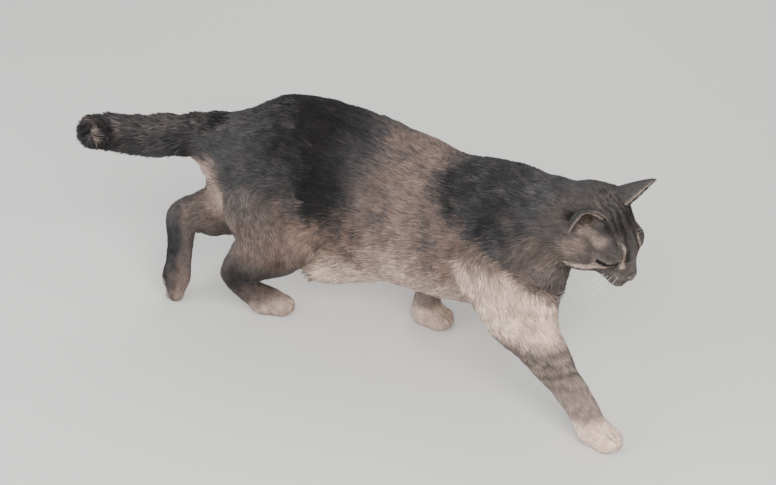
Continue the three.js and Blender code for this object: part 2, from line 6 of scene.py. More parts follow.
import bpy
import numpy as np
import openvdb
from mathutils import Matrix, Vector


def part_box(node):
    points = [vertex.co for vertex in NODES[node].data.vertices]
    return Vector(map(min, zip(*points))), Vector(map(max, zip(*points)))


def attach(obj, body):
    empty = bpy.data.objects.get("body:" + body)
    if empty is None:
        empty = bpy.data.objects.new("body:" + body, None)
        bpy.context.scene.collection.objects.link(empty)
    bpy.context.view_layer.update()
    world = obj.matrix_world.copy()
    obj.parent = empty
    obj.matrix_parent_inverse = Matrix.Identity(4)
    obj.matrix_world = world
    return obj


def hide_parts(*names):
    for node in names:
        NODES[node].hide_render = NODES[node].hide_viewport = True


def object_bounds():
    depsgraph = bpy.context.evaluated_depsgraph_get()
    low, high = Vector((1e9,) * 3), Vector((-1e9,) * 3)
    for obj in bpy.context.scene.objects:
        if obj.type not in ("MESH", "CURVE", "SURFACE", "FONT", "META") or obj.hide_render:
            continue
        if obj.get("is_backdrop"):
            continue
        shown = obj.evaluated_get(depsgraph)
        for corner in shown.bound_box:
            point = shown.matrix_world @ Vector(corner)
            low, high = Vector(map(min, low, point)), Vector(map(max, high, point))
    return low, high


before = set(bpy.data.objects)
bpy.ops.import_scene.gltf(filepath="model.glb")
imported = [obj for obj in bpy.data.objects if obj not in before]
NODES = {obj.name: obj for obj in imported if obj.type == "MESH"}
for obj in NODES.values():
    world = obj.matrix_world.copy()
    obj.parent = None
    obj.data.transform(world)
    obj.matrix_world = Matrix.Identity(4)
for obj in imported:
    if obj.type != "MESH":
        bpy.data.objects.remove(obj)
cad_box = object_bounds()
SEED, LATTICE_SEED = 7, 3
rng = np.random.default_rng(SEED)

# ---- Small vector tools ----


def vec(*values):
    return np.array(values, float)


def unit(a):
    return a / np.maximum(np.linalg.norm(a, axis=-1, keepdims=True), 1e-9)


def norms(a):
    return np.linalg.norm(a, axis=1)


def laid_flat(a, normals):
    """Each direction turned into the plane across its normal."""
    return unit(a - (a * normals).sum(1)[:, None] * normals)


def smoothstep(low, high, x):
    t = np.clip((x - low) / (high - low), 0, 1)
    return t * t * (3 - 2 * t)


def share(x):
    """Held between 0 and 1."""
    return np.clip(x, 0, 1)


def bump(x, centre, width):
    return np.exp(-(((x - centre) / width) ** 2))


def smooth_min(a, b, k):
    h = np.maximum(k - np.abs(a - b), 0) / k
    return np.minimum(a, b) - h * h * k * 0.25


def smooth_max(a, b, k):
    return -smooth_min(-a, -b, k)


def euler_axes(yaw, pitch=0.0, roll=0.0):
    """Forward, left and up axes: turned left by yaw, nose down by pitch, then rolled, in degrees."""
    a, b, c = np.radians([yaw, pitch, roll])
    rz = np.array([[math.cos(a), -math.sin(a), 0], [math.sin(a), math.cos(a), 0], [0, 0, 1]])
    ry = np.array([[math.cos(b), 0, math.sin(b)], [0, 1, 0], [-math.sin(b), 0, math.cos(b)]])
    rx = np.array([[1, 0, 0], [0, math.cos(c), -math.sin(c)], [0, math.sin(c), math.cos(c)]])
    return (rz @ ry @ rx).T


class Frame:
    """An origin with forward, left and up axes."""

    def __init__(self, origin, axes):
        self.origin = np.asarray(origin, float)
        self.axes = axes

    def inside(self, points):
        return (points - self.origin) @ self.axes.T

    def place(self, local):
        return self.origin + np.asarray(local, float) @ self.axes


LATTICE_SIDE = 32
LATTICE = np.random.default_rng(LATTICE_SEED).random((LATTICE_SIDE,) * 3).astype(np.float32)
FAR_OFFSET = 517.3      # keeps the body clear of the lattice's origin


def noise(points, size, offset=0.0):
    """Smooth value noise from 0 to 1, with features of about one size."""
    q = np.asarray(points) / size + FAR_OFFSET + offset
    base = np.floor(q).astype(int)
    f = q - base
    f = f * f * (3 - 2 * f)
    total = 0.0
    for n in range(8):
        bits = np.array([n & 1, (n >> 1) & 1, (n >> 2) & 1])
        corner = (base + bits) % LATTICE_SIDE
        weight = np.prod(np.where(bits, f, 1 - f), axis=1)
        total = total + weight * LATTICE[corner[:, 0], corner[:, 1], corner[:, 2]]
    return total


# ---- The body's frames, found from the CAD eyes ----

HEAD = Frame(vec(243, -44, 214), euler_axes(-22, 30, 2))
EYE = vec(36.0, 20.0, 3.5)      # left eye's centre in the head's frame; the right one mirrors it
EYE_RADIUS = 11.0
NOSE = vec(63.3, 0.0, -17.2)
NOSE_SIZE = vec(6.5, 7.5, 5.5)


def mirrored(h):
    """Places in the head's frame, those on its right turned over to its left."""
    return h * [1, 0, 1] + np.abs(h) * [0, 1, 0]


def node_centre(name):
    low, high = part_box(name)
    return np.array((low + high) / 2) * 1000


SHIFT = node_centre("eye_right") - HEAD.place(EYE * [1, -1, 1])

# Each paw's frame on the floor, width and length
PAWS = {
    "fore_right": (Frame(vec(275, -134, 0), euler_axes(-16)), 33.0, 44.0),
    "fore_left": (Frame(vec(39, 32, 0), euler_axes(-4)), 33.0, 44.0),
    "hind_right": (Frame(vec(-149, -3, 0), euler_axes(14)), 31.0, 44.0),
    "hind_left": (Frame(vec(-276.5, -13, 23), euler_axes(28, 80)), 31.0, 38.0),
}


def to_metres(points):
    return (np.asarray(points) + SHIFT) * 0.001


# ---- Distance fields, in millimetres and negative inside ----


def ellipsoid(points, centre, radii):
    p = points - np.asarray(centre, float)
    radii = np.asarray(radii, float)
    level = np.sqrt(((p / radii) ** 2).sum(1))
    slope = np.sqrt(((p / radii**2) ** 2).sum(1))
    return np.where(slope < 1e-9, -radii.min(), level * (level - 1) / np.maximum(slope, 1e-9))


def tube(points, line, radii):
    """A chain of round cones through the line's points."""
    line = np.asarray(line, float)
    best = np.full(len(points), 1e9)
    for n in range(len(line) - 1):
        a, b = line[n], line[n + 1]
        t = np.clip((points - a) @ (b - a) / ((b - a) @ (b - a)), 0, 1)
        d = norms(points - a - t[:, None] * (b - a))
        best = np.minimum(best, d - (radii[n] * (1 - t) + radii[n + 1] * t))
    return best


def stroke(points, line, radius, fade):
    """1 on a stroke along a line, fading to 0 beside it."""
    return np.exp(-((tube(points, line, [radius] * len(line)).clip(0) / fade) ** 2))


# ---- The body's field: the CAD solids, rounded ----

VOXEL = 2.0
CLOSING = 0.45      # how far the first surface is let out, to close the cuts


def joined(parts):
    """The points and faces of several meshes as one mesh's."""
    points, faces, count = [], [], 0
    for part, corners in parts:
        points.append(part)
        faces.append(corners + count)
        count += len(part)
    return np.concatenate(points), np.concatenate(faces)


def solid_mesh(name):
    """One node's points, in millimetres, and its triangles."""
    mesh = NODES[name].data
    co = np.empty(len(mesh.vertices) * 3)
    mesh.vertices.foreach_get("co", co)
    mesh.calc_loop_triangles()
    tri = np.empty(len(mesh.loop_triangles) * 3, np.int32)
    mesh.loop_triangles.foreach_get("vertices", tri)
    return co.reshape(-1, 3) * 1000 - SHIFT, tri.reshape(-1, 3)


def solid_grid(names):
    """The named solids as one closed level set, with their thin cuts closed."""
    points, faces = joined(solid_mesh(name) for name in names)
    keys, inverse = np.unique(np.round(points * 100).astype(np.int64), axis=0, return_inverse=True)
    faces = inverse.reshape(-1)[faces]
    transform = openvdb.createLinearTransform(VOXEL)
    level_set = openvdb.FloatGrid.createLevelSetFromPolygons
    points, faces = (keys / 100).astype(np.float32), faces.astype(np.uint32)
    first = level_set(points, triangles=faces, transform=transform, halfWidth=3.0)
    outer, quads = first.convertToQuads(CLOSING)
    full = level_set(outer, quads=quads.astype(np.uint32), transform=transform, halfWidth=16.0)
    low, high = (np.array(corner) for corner in full.evalActiveVoxelBoundingBox())
    low -= 2
    values = np.zeros(tuple(high + 2 - low + 1), np.float32)
    full.copyToArray(values, ijk=tuple(int(v) for v in low))
    return values + CLOSING, low * VOXEL


def blurred(values, sigma):
    """A Gaussian blur, sigma in millimetres."""
    reach = int(math.ceil(3 * sigma / VOXEL))
    kernel = np.exp(-0.5 * (np.arange(-reach, reach + 1) * VOXEL / sigma) ** 2)
    kernel /= kernel.sum()
    for axis in range(3):
        pad = [(reach, reach) if a == axis else (0, 0) for a in range(3)]
        padded = np.pad(values, pad, mode="edge")
        total = np.zeros_like(values)
        for n, weight in enumerate(kernel):
            window = [slice(None)] * 3
            window[axis] = slice(n, n + values.shape[axis])
            total += np.float32(weight) * padded[tuple(window)]
        values = total
    return values


def sample(grid, low, points, cell=VOXEL):
    """The grid's value at each point, trilinear."""
    q = np.clip((points - low) / cell, 0, np.array(grid.shape) - 1.001)
    base = q.astype(int)
    i, j, k = base.T
    x, y, z = (q - base).T

    def along_x(b, c):
        return grid[i, j + b, k + c] * (1 - x) + grid[i + 1, j + b, k + c] * x

    return (
        along_x(0, 0) * (1 - y) * (1 - z) + along_x(1, 0) * y * (1 - z)
        + along_x(0, 1) * (1 - y) * z + along_x(1, 1) * y * z
    )


# ---- Bones: how deep, how long and which way the coat is, from nose to tail and body to toe ----

# Each row: x, y, z, flesh radius, coat depth, tuft length.
CHAINS = {
    "head": [
        [292, -67, 180, 14, 1.5, 4], [270, -57, 198, 26, 2.5, 7],
        [238, -44, 222, 36, 4.0, 11], [216, -40, 222, 38, 6.0, 15],
    ],
    "neck": [[222, -46, 212, 36, 7.0, 16], [190, -42, 202, 44, 8.5, 19], [150, -32, 190, 50, 8.5, 21]],
    "chest": [[176, -58, 150, 30, 9.5, 22], [130, -28, 165, 58, 8.5, 21], [70, 5, 164, 70, 8.0, 21]],
    "belly": [[70, 5, 164, 72, 8.0, 21], [10, 27, 160, 76, 8.0, 21], [-45, 38, 160, 78, 8.0, 21]],
    "rump": [[-45, 38, 160, 78, 8.0, 21], [-110, 36, 168, 72, 8.0, 21], [-180, 20, 192, 42, 8.5, 21]],
    "pouch": [[20, 28, 95, 26, 11, 25], [-62, 36, 82, 30, 12, 26], [-110, 38, 95, 24, 10, 22]],
    "tail": [
        [-190, 20, 217, 18, 9.0, 20], [-225, 18, 215, 15, 9.5, 20], [-270, 10, 209, 12, 10.5, 20],
        [-315, 3, 206, 11, 10.5, 20], [-344, -6, 210, 9, 10.0, 18], [-352, -29, 219, 8, 9.0, 16],
        [-337, -45, 222, 7, 7.5, 14], [-321, -50, 216, 5, 5.5, 11],
    ],
    "fore_right": [
        [136, -64, 165, 32, 7.5, 19], [174, -92, 118, 24, 6.5, 16], [206, -109, 86, 17, 4.5, 12],
        [238, -124, 58, 13, 3.6, 9], [263, -133, 30, 12, 2.8, 7], [282, -137, 13, 12, 2.2, 5.5],
        [302, -142, 8, 8, 1.8, 4.5],
    ],
    "fore_left": [
        [104, 38, 165, 30, 7.5, 19], [78, 46, 126, 22, 6.0, 15], [58, 42, 88, 14, 4.2, 11],
        [43, 36, 56, 12, 3.4, 9], [39, 32, 30, 12, 2.8, 7], [48, 31, 13, 12, 2.2, 5.5],
        [68, 30, 8, 8, 1.8, 4.5],
    ],
    "hind_right": [
        [-136, -20, 150, 38, 8.0, 20], [-116, -30, 112, 28, 7.5, 18], [-148, -30, 86, 18, 5.5, 14],
        [-180, -28, 64, 12, 4.0, 10], [-172, -20, 42, 12, 3.2, 8], [-152, -9, 18, 11, 2.4, 6],
        [-126, 3, 8, 8, 1.8, 4.5],
    ],
    "hind_left": [
        [-172, 64, 150, 38, 8.0, 20], [-190, 64, 117, 28, 7.5, 18], [-230, 44, 99, 19, 5.5, 14],
        [-264, 25, 97, 13, 4.0, 10], [-264, 13, 68, 11, 3.2, 8], [-264, -3, 36, 11, 2.8, 7],
        [-265, -11, 16, 11, 2.2, 5.5], [-266, -11, 6, 8, 1.8, 4.5],
    ],
}
CHAIN_NAMES = list(CHAINS)
BLEND_REACH = 7.0   # how far one bone's influence fades into the next


def body_map(points):
    """Coat depth, tuft length, lie of the coat, nearest chain and place along it, for each point."""
    weights, depths, lengths, lies = 0.0, 0.0, 0.0, 0.0
    nearest = np.full(len(points), 1e9)
    chain_of = np.zeros(len(points), int)
    along = np.zeros(len(points))
    around = np.zeros(len(points))
    for number, name in enumerate(CHAIN_NAMES):
        rows = np.array(CHAINS[name], float)
        spans = norms(np.diff(rows[:, :3], axis=0))
        starts = np.concatenate([[0], np.cumsum(spans)])
        for n in range(len(rows) - 1):
            a, b = rows[n], rows[n + 1]
            axis = b[:3] - a[:3]
            t = np.clip((points - a[:3]) @ axis / (axis @ axis), 0, 1)
            off = points - a[:3] - t[:, None] * axis
            radius = a[3] * (1 - t) + b[3] * t
            distance = norms(off) - radius
            weight = np.exp(-np.clip(distance, -20, 200) / BLEND_REACH)
            weights = weights + weight
            depths = depths + weight * (a[4] * (1 - t) + b[4] * t)
            lengths = lengths + weight * (a[5] * (1 - t) + b[5] * t)
            lies = lies + weight[:, None] * unit(axis)
            closer = distance < nearest
            nearest = np.where(closer, distance, nearest)
            chain_of = np.where(closer, number, chain_of)
            along = np.where(closer, (starts[n] + t * spans[n]) / starts[-1], along)
            across = unit(np.cross(axis, vec(0.05, 0.02, 1)))
            above = unit(np.cross(across, axis))
            around = np.where(closer, np.arctan2(off @ across, off @ above) / (2 * math.pi) + 0.5, around)
    return (depths / weights, lengths / weights, unit(lies), chain_of, along, around)


# ---- The head's own field, finer than the solids ----

GAZE = {side: unit(vec(0.80, 0.60 * side, -0.16)) for side in (-1, 1)}
LID = 1.2          # how far the lids stand off the eye
SLIT_HALF = 9.6    # half the slit's length


def eye_angles(h, side):
    """Distance from the eye's centre, length along the slit and the angle above it."""
    gaze = GAZE[side]
    outward = unit(np.cross(vec(0.0, 0, 1), gaze)) * side
    tilt = math.radians(-6)
    up = unit(np.cross(gaze, outward) * side)
    sideways = outward * math.cos(tilt) + up * math.sin(tilt)
    above = up * math.cos(tilt) - outward * math.sin(tilt)
    p = h - EYE * [1, side, 1]
    r = norms(p)
    a = p @ sideways
    b = np.degrees(np.arcsin(np.clip(p @ above / np.maximum(r, 1e-6), -1, 1)))
    return r, a, b


def slit_distance(h, side):
    """How far a point is outside the opening between the lids, in millimetres."""
    r, a, b = eye_angles(h, side)
    bow = np.clip(1 - (a / SLIT_HALF) ** 2, 0, None)
    upper = -13 + 8 * bow
    lower = -13 - 15 * bow
    outside = np.radians(np.maximum(b - upper, lower - b)) * np.maximum(r, 4)
    outside = np.maximum(outside, np.abs(a) - SLIT_HALF)
    behind = (h - EYE * [1, side, 1]) @ GAZE[side] < 0
    return np.where(behind, 99.0, outside), r


MOUTH = vec([65, 0, -25], [62, 5, -29], [55, 11, -29.3], [46, 15, -29.5], [39, 17, -28])
PHILTRUM = vec([68.3, 0, -21.2], [66, 0, -25])


# Each: centre, radii and the reach of its blend. Those off the middle count on both sides.
HEAD_MASSES = (
    ([26, 0, 2], [26.8, 28.6, 21.5], 9), ([18, 0, -18], [34, 25, 16], 9),               # face, jaw
    ([45, 0, -19], [17, 17, 12.5], 9), ([53.5, 0, -28.6], [11, 9, 6.0], 5),             # muzzle, chin
    ([8, 25, -10], [26, 22, 21.5], 12), ([55.5, 8.5, -21.8], [11, 9.4, 7.4], 4),        # cheek, lip
    ([32, 16, 8.5], [10.6, 10.6, 7.0], 7), ([-4, 26, 20], [9.5, 10.5, 10.5], 10),       # brow, ear's seat
)


def head_masses(h):
    m = mirrored(h)
    f = ellipsoid(h, [-2, 0, 9], [38, 35, 27.8])
    for centre, radii, reach in HEAD_MASSES:
        f = smooth_min(f, ellipsoid(m if centre[1] else h, centre, radii), reach)
    return smooth_min(f, tube(h, [[24, 0, 14], [42, 0, 3], [59, 0, -11.2]], [13.5, 9.8, 7.0]), 7)


def head_field(h):
    """The head's skin with its lids, lips and the seat of the nose."""
    f = head_masses(h)
    for side in (-1, 1):
        f = smooth_min(f, ellipsoid(h, EYE * [1, side, 1], [EYE_RADIUS + LID] * 3), 5)
    for side in (-1, 1):
        outside, r = slit_distance(h, side)
        f = smooth_max(f, -np.maximum(outside, EYE_RADIUS - 0.7 - r), 0.7)
    f = smooth_max(f, -tube(mirrored(h), LIPS, [0.5, 0.8, 0.9, 0.9, 0.5]), 1.2)
    f = smooth_max(f, -tube(h, SEAM, [0.4, 0.5]), 1.0)
    return smooth_max(f, -ellipsoid(h, NOSE, NOSE_SIZE - 1.0), 1.0)


def slope_of(field, points, step):
    return np.stack([field(points + step * e) - field(points - step * e) for e in np.eye(3)], 1)


def settle(points, field, rounds=4, sink=0.0):
    """Moves points along the field's slope until they lie on its surface, sunk by a little."""
    points = np.array(points, float)
    step = 0.4
    for _ in range(rounds):
        value = field(points) + sink
        slope = slope_of(field, points, step) / (2 * step)
        square = np.maximum((slope**2).sum(1), 0.09)
        points = points - slope * (value / square)[:, None]
    return points


LIPS = settle(MOUTH, head_masses, sink=0.2)
SEAM = settle(PHILTRUM, head_masses, sink=0.2)

EAR_HEIGHT = 45.0

# Each ear: inner and outer end of its base, lean, from its opening to the middle of its back, side
EARS = {
    "left": (vec(11, 12, 34.5), vec(8, 43, 12), vec(4, 12.5, 44), vec(-23, -7, 7), 1),
    "right": (vec(14, -14, 30), vec(-5, -45, 5), vec(-6, -22, 36), vec(-19, 6, 6), -1),
}


def ear_hollow(h):
    """The room inside both ears' cups, down into the head."""
    f = np.full(len(h), 99.0)
    for inner, outer, lean, back, _side in EARS.values():
        lowest = (inner + outer) / 2 + back * 0.42 + unit(lean) * 5
        f = np.minimum(f, tube(h, [lowest, lowest + unit(lean) * 28], [9.5, 13.0]))
    return f


# ---- The paws' own field ----

TOE_RADIUS = 8.0
TOES = 4


def toes(paw):
    """Each toe's centre and size in the paw's frame."""
    _, width, length = PAWS[paw]
    for n in range(TOES):
        across = (n - 1.5) / 1.5
        ahead, aside = length * (0.46 - 0.1 * across**2), across * (width / 2 - TOE_RADIUS + 1)
        yield vec(ahead, aside, TOE_RADIUS - 0.5), vec(TOE_RADIUS * 1.45, TOE_RADIUS, TOE_RADIUS + 1)


def paw_field(points, paw):
    place, width, length = PAWS[paw]
    q = place.inside(points)
    f = ellipsoid(q, [0, 0, 13], [length * 0.45 - 2, width / 2 - 2.2, 12.5])
    for centre, size in toes(paw):
        f = smooth_min(f, ellipsoid(q, centre, size - [1.6, 2.1, 1.8]), 2.0)
    return f


# ---- The skin's field: body, head and paws in one ----

FLESH = [name for name in NODES if not name.startswith(("eye", "nose", "ear"))]
solid, GRID_LOW = solid_grid(FLESH)
TRUNK_GRID = blurred(solid, 6.0)
LIMB_GRID = blurred(solid, 3.0)
HEAD_REACH, PAW_REACH = 95, 62      # how far from their origins the head's and a paw's own field count
FLOOR_GAP = 0.6                     # the skin stays this far above the floor


def base_field(points):
    """The solids, drawn in by the depth of the coat. Far from the surface the depth doesn't matter."""
    coarse = sample(TRUNK_GRID, GRID_LOW, points)
    result = coarse + 5
    near = np.abs(coarse + 5) < 16
    depth = body_map(points[near])[0]
    fine = sample(LIMB_GRID, GRID_LOW, points[near])
    firm = smoothstep(4.0, 7.5, depth)
    result[near] = fine * (1 - firm) + coarse[near] * firm + depth
    return result


def skin_field(points):
    f = base_field(points)
    h = HEAD.inside(points)
    near = norms(h) < HEAD_REACH
    if near.any():
        fine = head_field(h[near])
        face = smoothstep(-8, 14, h[near, 0]) * smoothstep(14, 6, fine)
        joined = smooth_min(f[near] + 5 * face, fine, 3)
        f[near] = smooth_max(joined, -ear_hollow(h[near]), 2.5)
    for paw, (place, _, _) in PAWS.items():
        close = norms((points - place.origin)[:, :2]) < PAW_REACH
        if close.any():
            low = smoothstep(40, 24, points[close, 2])
            joined = smooth_min(f[close], paw_field(points[close], paw), 5)
            f[close] = joined * low + f[close] * (1 - low)
    return np.maximum(f, FLOOR_GAP - points[:, 2])


# ---- Surface nets over the skin's field ----

FIELD_BATCH = 200000    # points for which a field is worked out at a time


def surface_net(field, low, high, cell):
    """A mesh of the field's surface: one vertex in each cell that it crosses."""
    counts = [int(math.ceil((b - a) / cell)) + 1 for a, b in zip(low, high)]
    axes = [low[k] + cell * np.arange(counts[k]) for k in range(3)]
    points = np.stack(np.meshgrid(*axes, indexing="ij"), -1).reshape(-1, 3)
    parts = np.array_split(points, max(1, len(points) // FIELD_BATCH))
    values = np.concatenate([field(part) for part in parts]).reshape(counts)
    inside = values < 0
    corners = [(a, b, c) for a in (0, 1) for b in (0, 1) for c in (0, 1)]
    cells = tuple(n - 1 for n in counts)

    def at(array, corner):
        return array[tuple(slice(corner[k], corner[k] + cells[k]) for k in range(3))]

    count = sum(at(inside, c).astype(int) for c in corners)
    active = (count > 0) & (count < 8)
    total = np.zeros(cells + (3,), np.float32)
    crossings = np.zeros(cells, np.float32)
    for a in corners:
        for k in range(3):
            if a[k]:
                continue
            b = tuple(a[m] + (m == k) for m in range(3))
            va, vb = at(values, a), at(values, b)
            cross = (va < 0) != (vb < 0)
            t = np.where(cross, va / np.where(cross, va - vb, 1), 0)
            for m in range(3):
                total[..., m] += np.where(cross, a[m] + t * (m == k), 0)
            crossings += cross
    index = np.full(cells, -1)
    index[active] = np.arange(active.sum())
    place = np.argwhere(active)
    vertices = np.asarray(low) + cell * (place + total[active] / crossings[active][:, None])
    quads = []
    for k in range(3):
        u, v = (k + 1) % 3, (k + 2) % 3
        inner = inside[tuple(slice(None) if m == k else slice(1, -1) for m in range(3))]
        here, ahead = np.delete(inner, -1, axis=k), np.delete(inner, 0, axis=k)
        edge = np.argwhere(here != ahead)
        flip = here[tuple(edge.T)]
        spot = edge.copy()
        spot[:, [m for m in range(3) if m != k]] += 1
        ring = []
        for du, dv in ((-1, -1), (0, -1), (0, 0), (-1, 0)):
            c = spot.copy()
            c[:, u] += du
            c[:, v] += dv
            ring.append(index[tuple(c.T)])
        ring = np.stack(ring, 1)
        ring[~flip] = ring[~flip][:, ::-1]
        quads.append(ring)
    return vertices, np.concatenate(quads), values


def to_triangles(vertices, quads):
    """Each quad halved across its shorter diagonal."""
    d1 = norms(vertices[quads[:, 0]] - vertices[quads[:, 2]])
    d2 = norms(vertices[quads[:, 1]] - vertices[quads[:, 3]])
    first = (d1 < d2)[:, None]
    a = np.where(first, quads[:, [0, 1, 2]], quads[:, [1, 2, 3]])
    b = np.where(first, quads[:, [0, 2, 3]], quads[:, [1, 3, 0]])
    return np.concatenate([a, b])


def refine(vertices, faces, target):
    """Splits each edge that is longer than its target, without leaving a hanging corner."""
    pairs = np.sort(np.concatenate([faces[:, [0, 1]], faces[:, [1, 2]], faces[:, [2, 0]]]), axis=1)
    edges, inverse = np.unique(pairs, axis=0, return_inverse=True)
    inverse = inverse.reshape(-1)
    middle = (vertices[edges[:, 0]] + vertices[edges[:, 1]]) / 2
    length = norms(vertices[edges[:, 0]] - vertices[edges[:, 1]])
    split = length > 1.3 * target(middle)
    new_index = np.full(len(edges), -1)
    new_index[split] = len(vertices) + np.arange(split.sum())
    grown = np.concatenate([vertices, middle[split]])
    n = len(faces)
    mids = new_index[inverse].reshape(3, n).T
    flags = mids >= 0
    count = flags.sum(1)
    made = [faces[count == 0]]
    three = count == 3
    (a, b, c), (p, q, r) = faces[three].T, mids[three].T
    made += [np.stack(t, 1) for t in ((a, p, r), (p, b, q), (r, q, c), (p, q, r))]
    for k in range(3):
        order = [k, (k + 1) % 3, (k + 2) % 3]
        one = (count == 1) & flags[:, k]
        a, b, c = faces[one][:, order].T
        p = mids[one][:, k]
        made += [np.stack((a, p, c), 1), np.stack((p, b, c), 1)]
        two = (count == 2) & ~flags[:, k]
        a, b, c = faces[two][:, order].T
        q, r = mids[two][:, order[1]], mids[two][:, order[2]]
        made += [np.stack((q, c, r), 1), np.stack((a, b, q), 1), np.stack((a, q, r), 1)]
    return grown, np.concatenate(made)


def facet_size(points):
    """The skin's facets are finest round the eyes, nose and mouth."""
    h = HEAD.inside(points)
    on_head = smoothstep(-35, -10, h[:, 0]) * (norms(h) < 90)
    size = 3.4 - 1.7 * on_head
    from_eye = norms(mirrored(h) - EYE - GAZE[1] * 8)
    from_nose = norms(h - [56, 0, -22])
    for finest, beyond in ((0.65, from_eye - 9), (0.8, from_nose - 14)):
        size = np.minimum(size, np.where(on_head > 0, finest + np.clip(beyond, 0, 99) * 0.12, 9))
    return np.minimum(size, np.where(points[:, 2] < 30, 1.7, 9))


# ---- Meshes and pieces ----


def make_mesh(name, points, faces):
    """A smooth mesh object from millimetre points and rows of three or four corners."""
    mesh = bpy.data.meshes.new(name)
    sides = faces.shape[1]
    mesh.vertices.add(len(points))
    mesh.vertices.foreach_set("co", to_metres(points).astype(np.float32).ravel())
    mesh.loops.add(faces.size)
    mesh.loops.foreach_set("vertex_index", faces.astype(np.int32).ravel())
    mesh.polygons.add(len(faces))
    mesh.polygons.foreach_set("loop_start", np.arange(0, faces.size, sides, dtype=np.int32))
    mesh.polygons.foreach_set("use_smooth", np.full(len(faces), True))
    mesh.update(calc_edges=True)
    piece = bpy.data.objects.new(name, mesh)
    bpy.context.scene.collection.objects.link(piece)
    return piece


def finish_piece(piece, material, replaced=()):
    piece.data.materials.append(material)
    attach(piece, "root")
    if replaced:
        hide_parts(*replaced)


def set_attributes(piece, values_of):
    for name, values in values_of.items():
        layer = piece.data.attributes.new(name, "FLOAT", "POINT")
        layer.data.foreach_set("value", values.astype(np.float32))


def halved(quads):
    return np.concatenate([quads[:, [0, 1, 2]], quads[:, [0, 2, 3]]])


def ring_quads(rows, ring):
    """Quads between rows of points that each go once round."""
    row, n = np.divmod(np.arange((rows - 1) * ring), ring)
    a, b = row * ring + n, row * ring + (n + 1) % ring
    return np.stack([a, a + ring, b + ring, b], 1)


class Surface:
    """A material, its shader and short ways to add nodes to it."""

    def __init__(self, name, **settings):
        self.material = bpy.data.materials.new(name)
        self.material.use_nodes = True
        self.nodes = self.material.node_tree.nodes
        self.shader = self.nodes["Principled BSDF"]
        self.set(self.shader, settings)

    def set(self, node, settings):
        """Sets sockets by name to a number or a colour, or links them to a node's output."""
        for name, value in settings.items():
            socket = node.inputs[name.replace("_", " ")]
            if isinstance(value, bpy.types.NodeSocket):
                self.material.node_tree.links.new(value, socket)
            else:
                socket.default_value = (*value, 1) if isinstance(value, tuple) else value

    def add(self, kind, **settings):
        node = self.nodes.new("ShaderNode" + kind)
        self.set(node, settings)
        return node.outputs

    def place(self):
        return self.add("TexCoord")["Object"]

    def attribute(self, key):
        node = self.nodes.new("ShaderNodeAttribute")
        node.attribute_name = key
        return node.outputs["Fac"]

    def mixed(self, kind, factor, a, b):
        node = self.nodes.new("ShaderNodeMix")
        node.data_type = "RGBA"
        node.blend_type = kind
        self.set(node, {"Factor": factor, "A": a, "B": b})
        return node.outputs["Result"]

    def ranged(self, source, low, high):
        return self.add("MapRange", Value=source, To_Min=low, To_Max=high)["Result"]

    def bumps(self, height, strength, distance):
        normal = self.add("Bump", Strength=strength, Distance=distance, Height=height)["Normal"]
        self.set(self.shader, {"Normal": normal})

    def coloured(self, colour):
        self.set(self.shader, {"Base Color": colour})
        return self.material


# ---- The ears: cupped sheets, sunk into the head ----

EAR_SKIN = 1.5      # thickness of the bare ear
EAR_COAT = 0.9      # the short coat on its back
EAR_ROWS = np.linspace(-0.22, 1, 34)
EAR_COLUMNS = 30


def ear_points(name, v, turn, inset):
    """Places on an ear's cup, drawn in by inset, in the head's frame."""
    inner, outer, lean, back, _side = EARS[name]
    tip = (inner + outer) / 2 + lean * EAR_HEIGHT / np.linalg.norm(lean)
    v, turn, inset = (np.asarray(a, float)[..., None] for a in np.broadcast_arrays(v, turn, inset))
    narrow = np.sqrt(1 - np.clip(v, 0, 1) ** 2.2) * 0.97 + 0.03
    middle = (inner + outer) / 2 * (1 - v) + tip * v
    half = (inner - outer) / 2 * narrow * (1 - 0.42 * v)
    bulge = back * narrow * (1 - 0.6 * v)
    half_scale, bulge_scale = (
        1 - inset / np.maximum(np.linalg.norm(a, axis=-1, keepdims=True), inset + 0.4) for a in (half, bulge))
    return middle + half * np.cos(turn) * half_scale + bulge * np.sin(turn) * bulge_scale


def ear_sheet(name):
    """Points and triangles of one ear: its back, its rim and the inside of its cup."""
    side = EARS[name][4]
    turn = np.pi * np.arange(EAR_COLUMNS + 1) / EAR_COLUMNS
    rings = []
    for v in EAR_ROWS:
        thin = 1 - 0.35 * max(v, 0)
        outer = ear_points(name, v, turn, EAR_COAT)
        inner = ear_points(name, v, turn[::-1], EAR_COAT + EAR_SKIN * thin)
        rings.append(np.concatenate([outer, inner]))
    ring = 2 * (EAR_COLUMNS + 1)
    points = HEAD.place(np.concatenate(rings))
    last = (len(EAR_ROWS) - 1) * ring
    k = last + np.arange(EAR_COLUMNS)
    end = 2 * last + ring - 1 - k
    top = np.stack([k, k + 1, end - 1, end], 1)
    quads = np.concatenate([ring_quads(len(EAR_ROWS), ring)[:, [0, 3, 2, 1]], top])
    return points, halved(quads if side < 0 else quads[:, ::-1])


# ---- The skin ----

NET_CELL = 3.4
NET_MARGIN = 6
NET_LOW = GRID_LOW + NET_MARGIN
NET_HIGH = GRID_LOW + VOXEL * (np.array(TRUNK_GRID.shape) - 1) - NET_MARGIN
skin_points, skin_quads, SKIN_GRID = surface_net(skin_field, NET_LOW, NET_HIGH, NET_CELL)
skin_faces = to_triangles(skin_points, skin_quads)
skin_points = settle(skin_points, skin_field, 3)
for _ in range(3):
    kept = len(skin_points)
    skin_points, skin_faces = refine(skin_points, skin_faces, facet_size)
    skin_points[kept:] = settle(skin_points[kept:], skin_field, 3)
BODY_FACES = len(skin_faces)
skin_points, skin_faces = joined([(skin_points, skin_faces), *map(ear_sheet, EARS)])


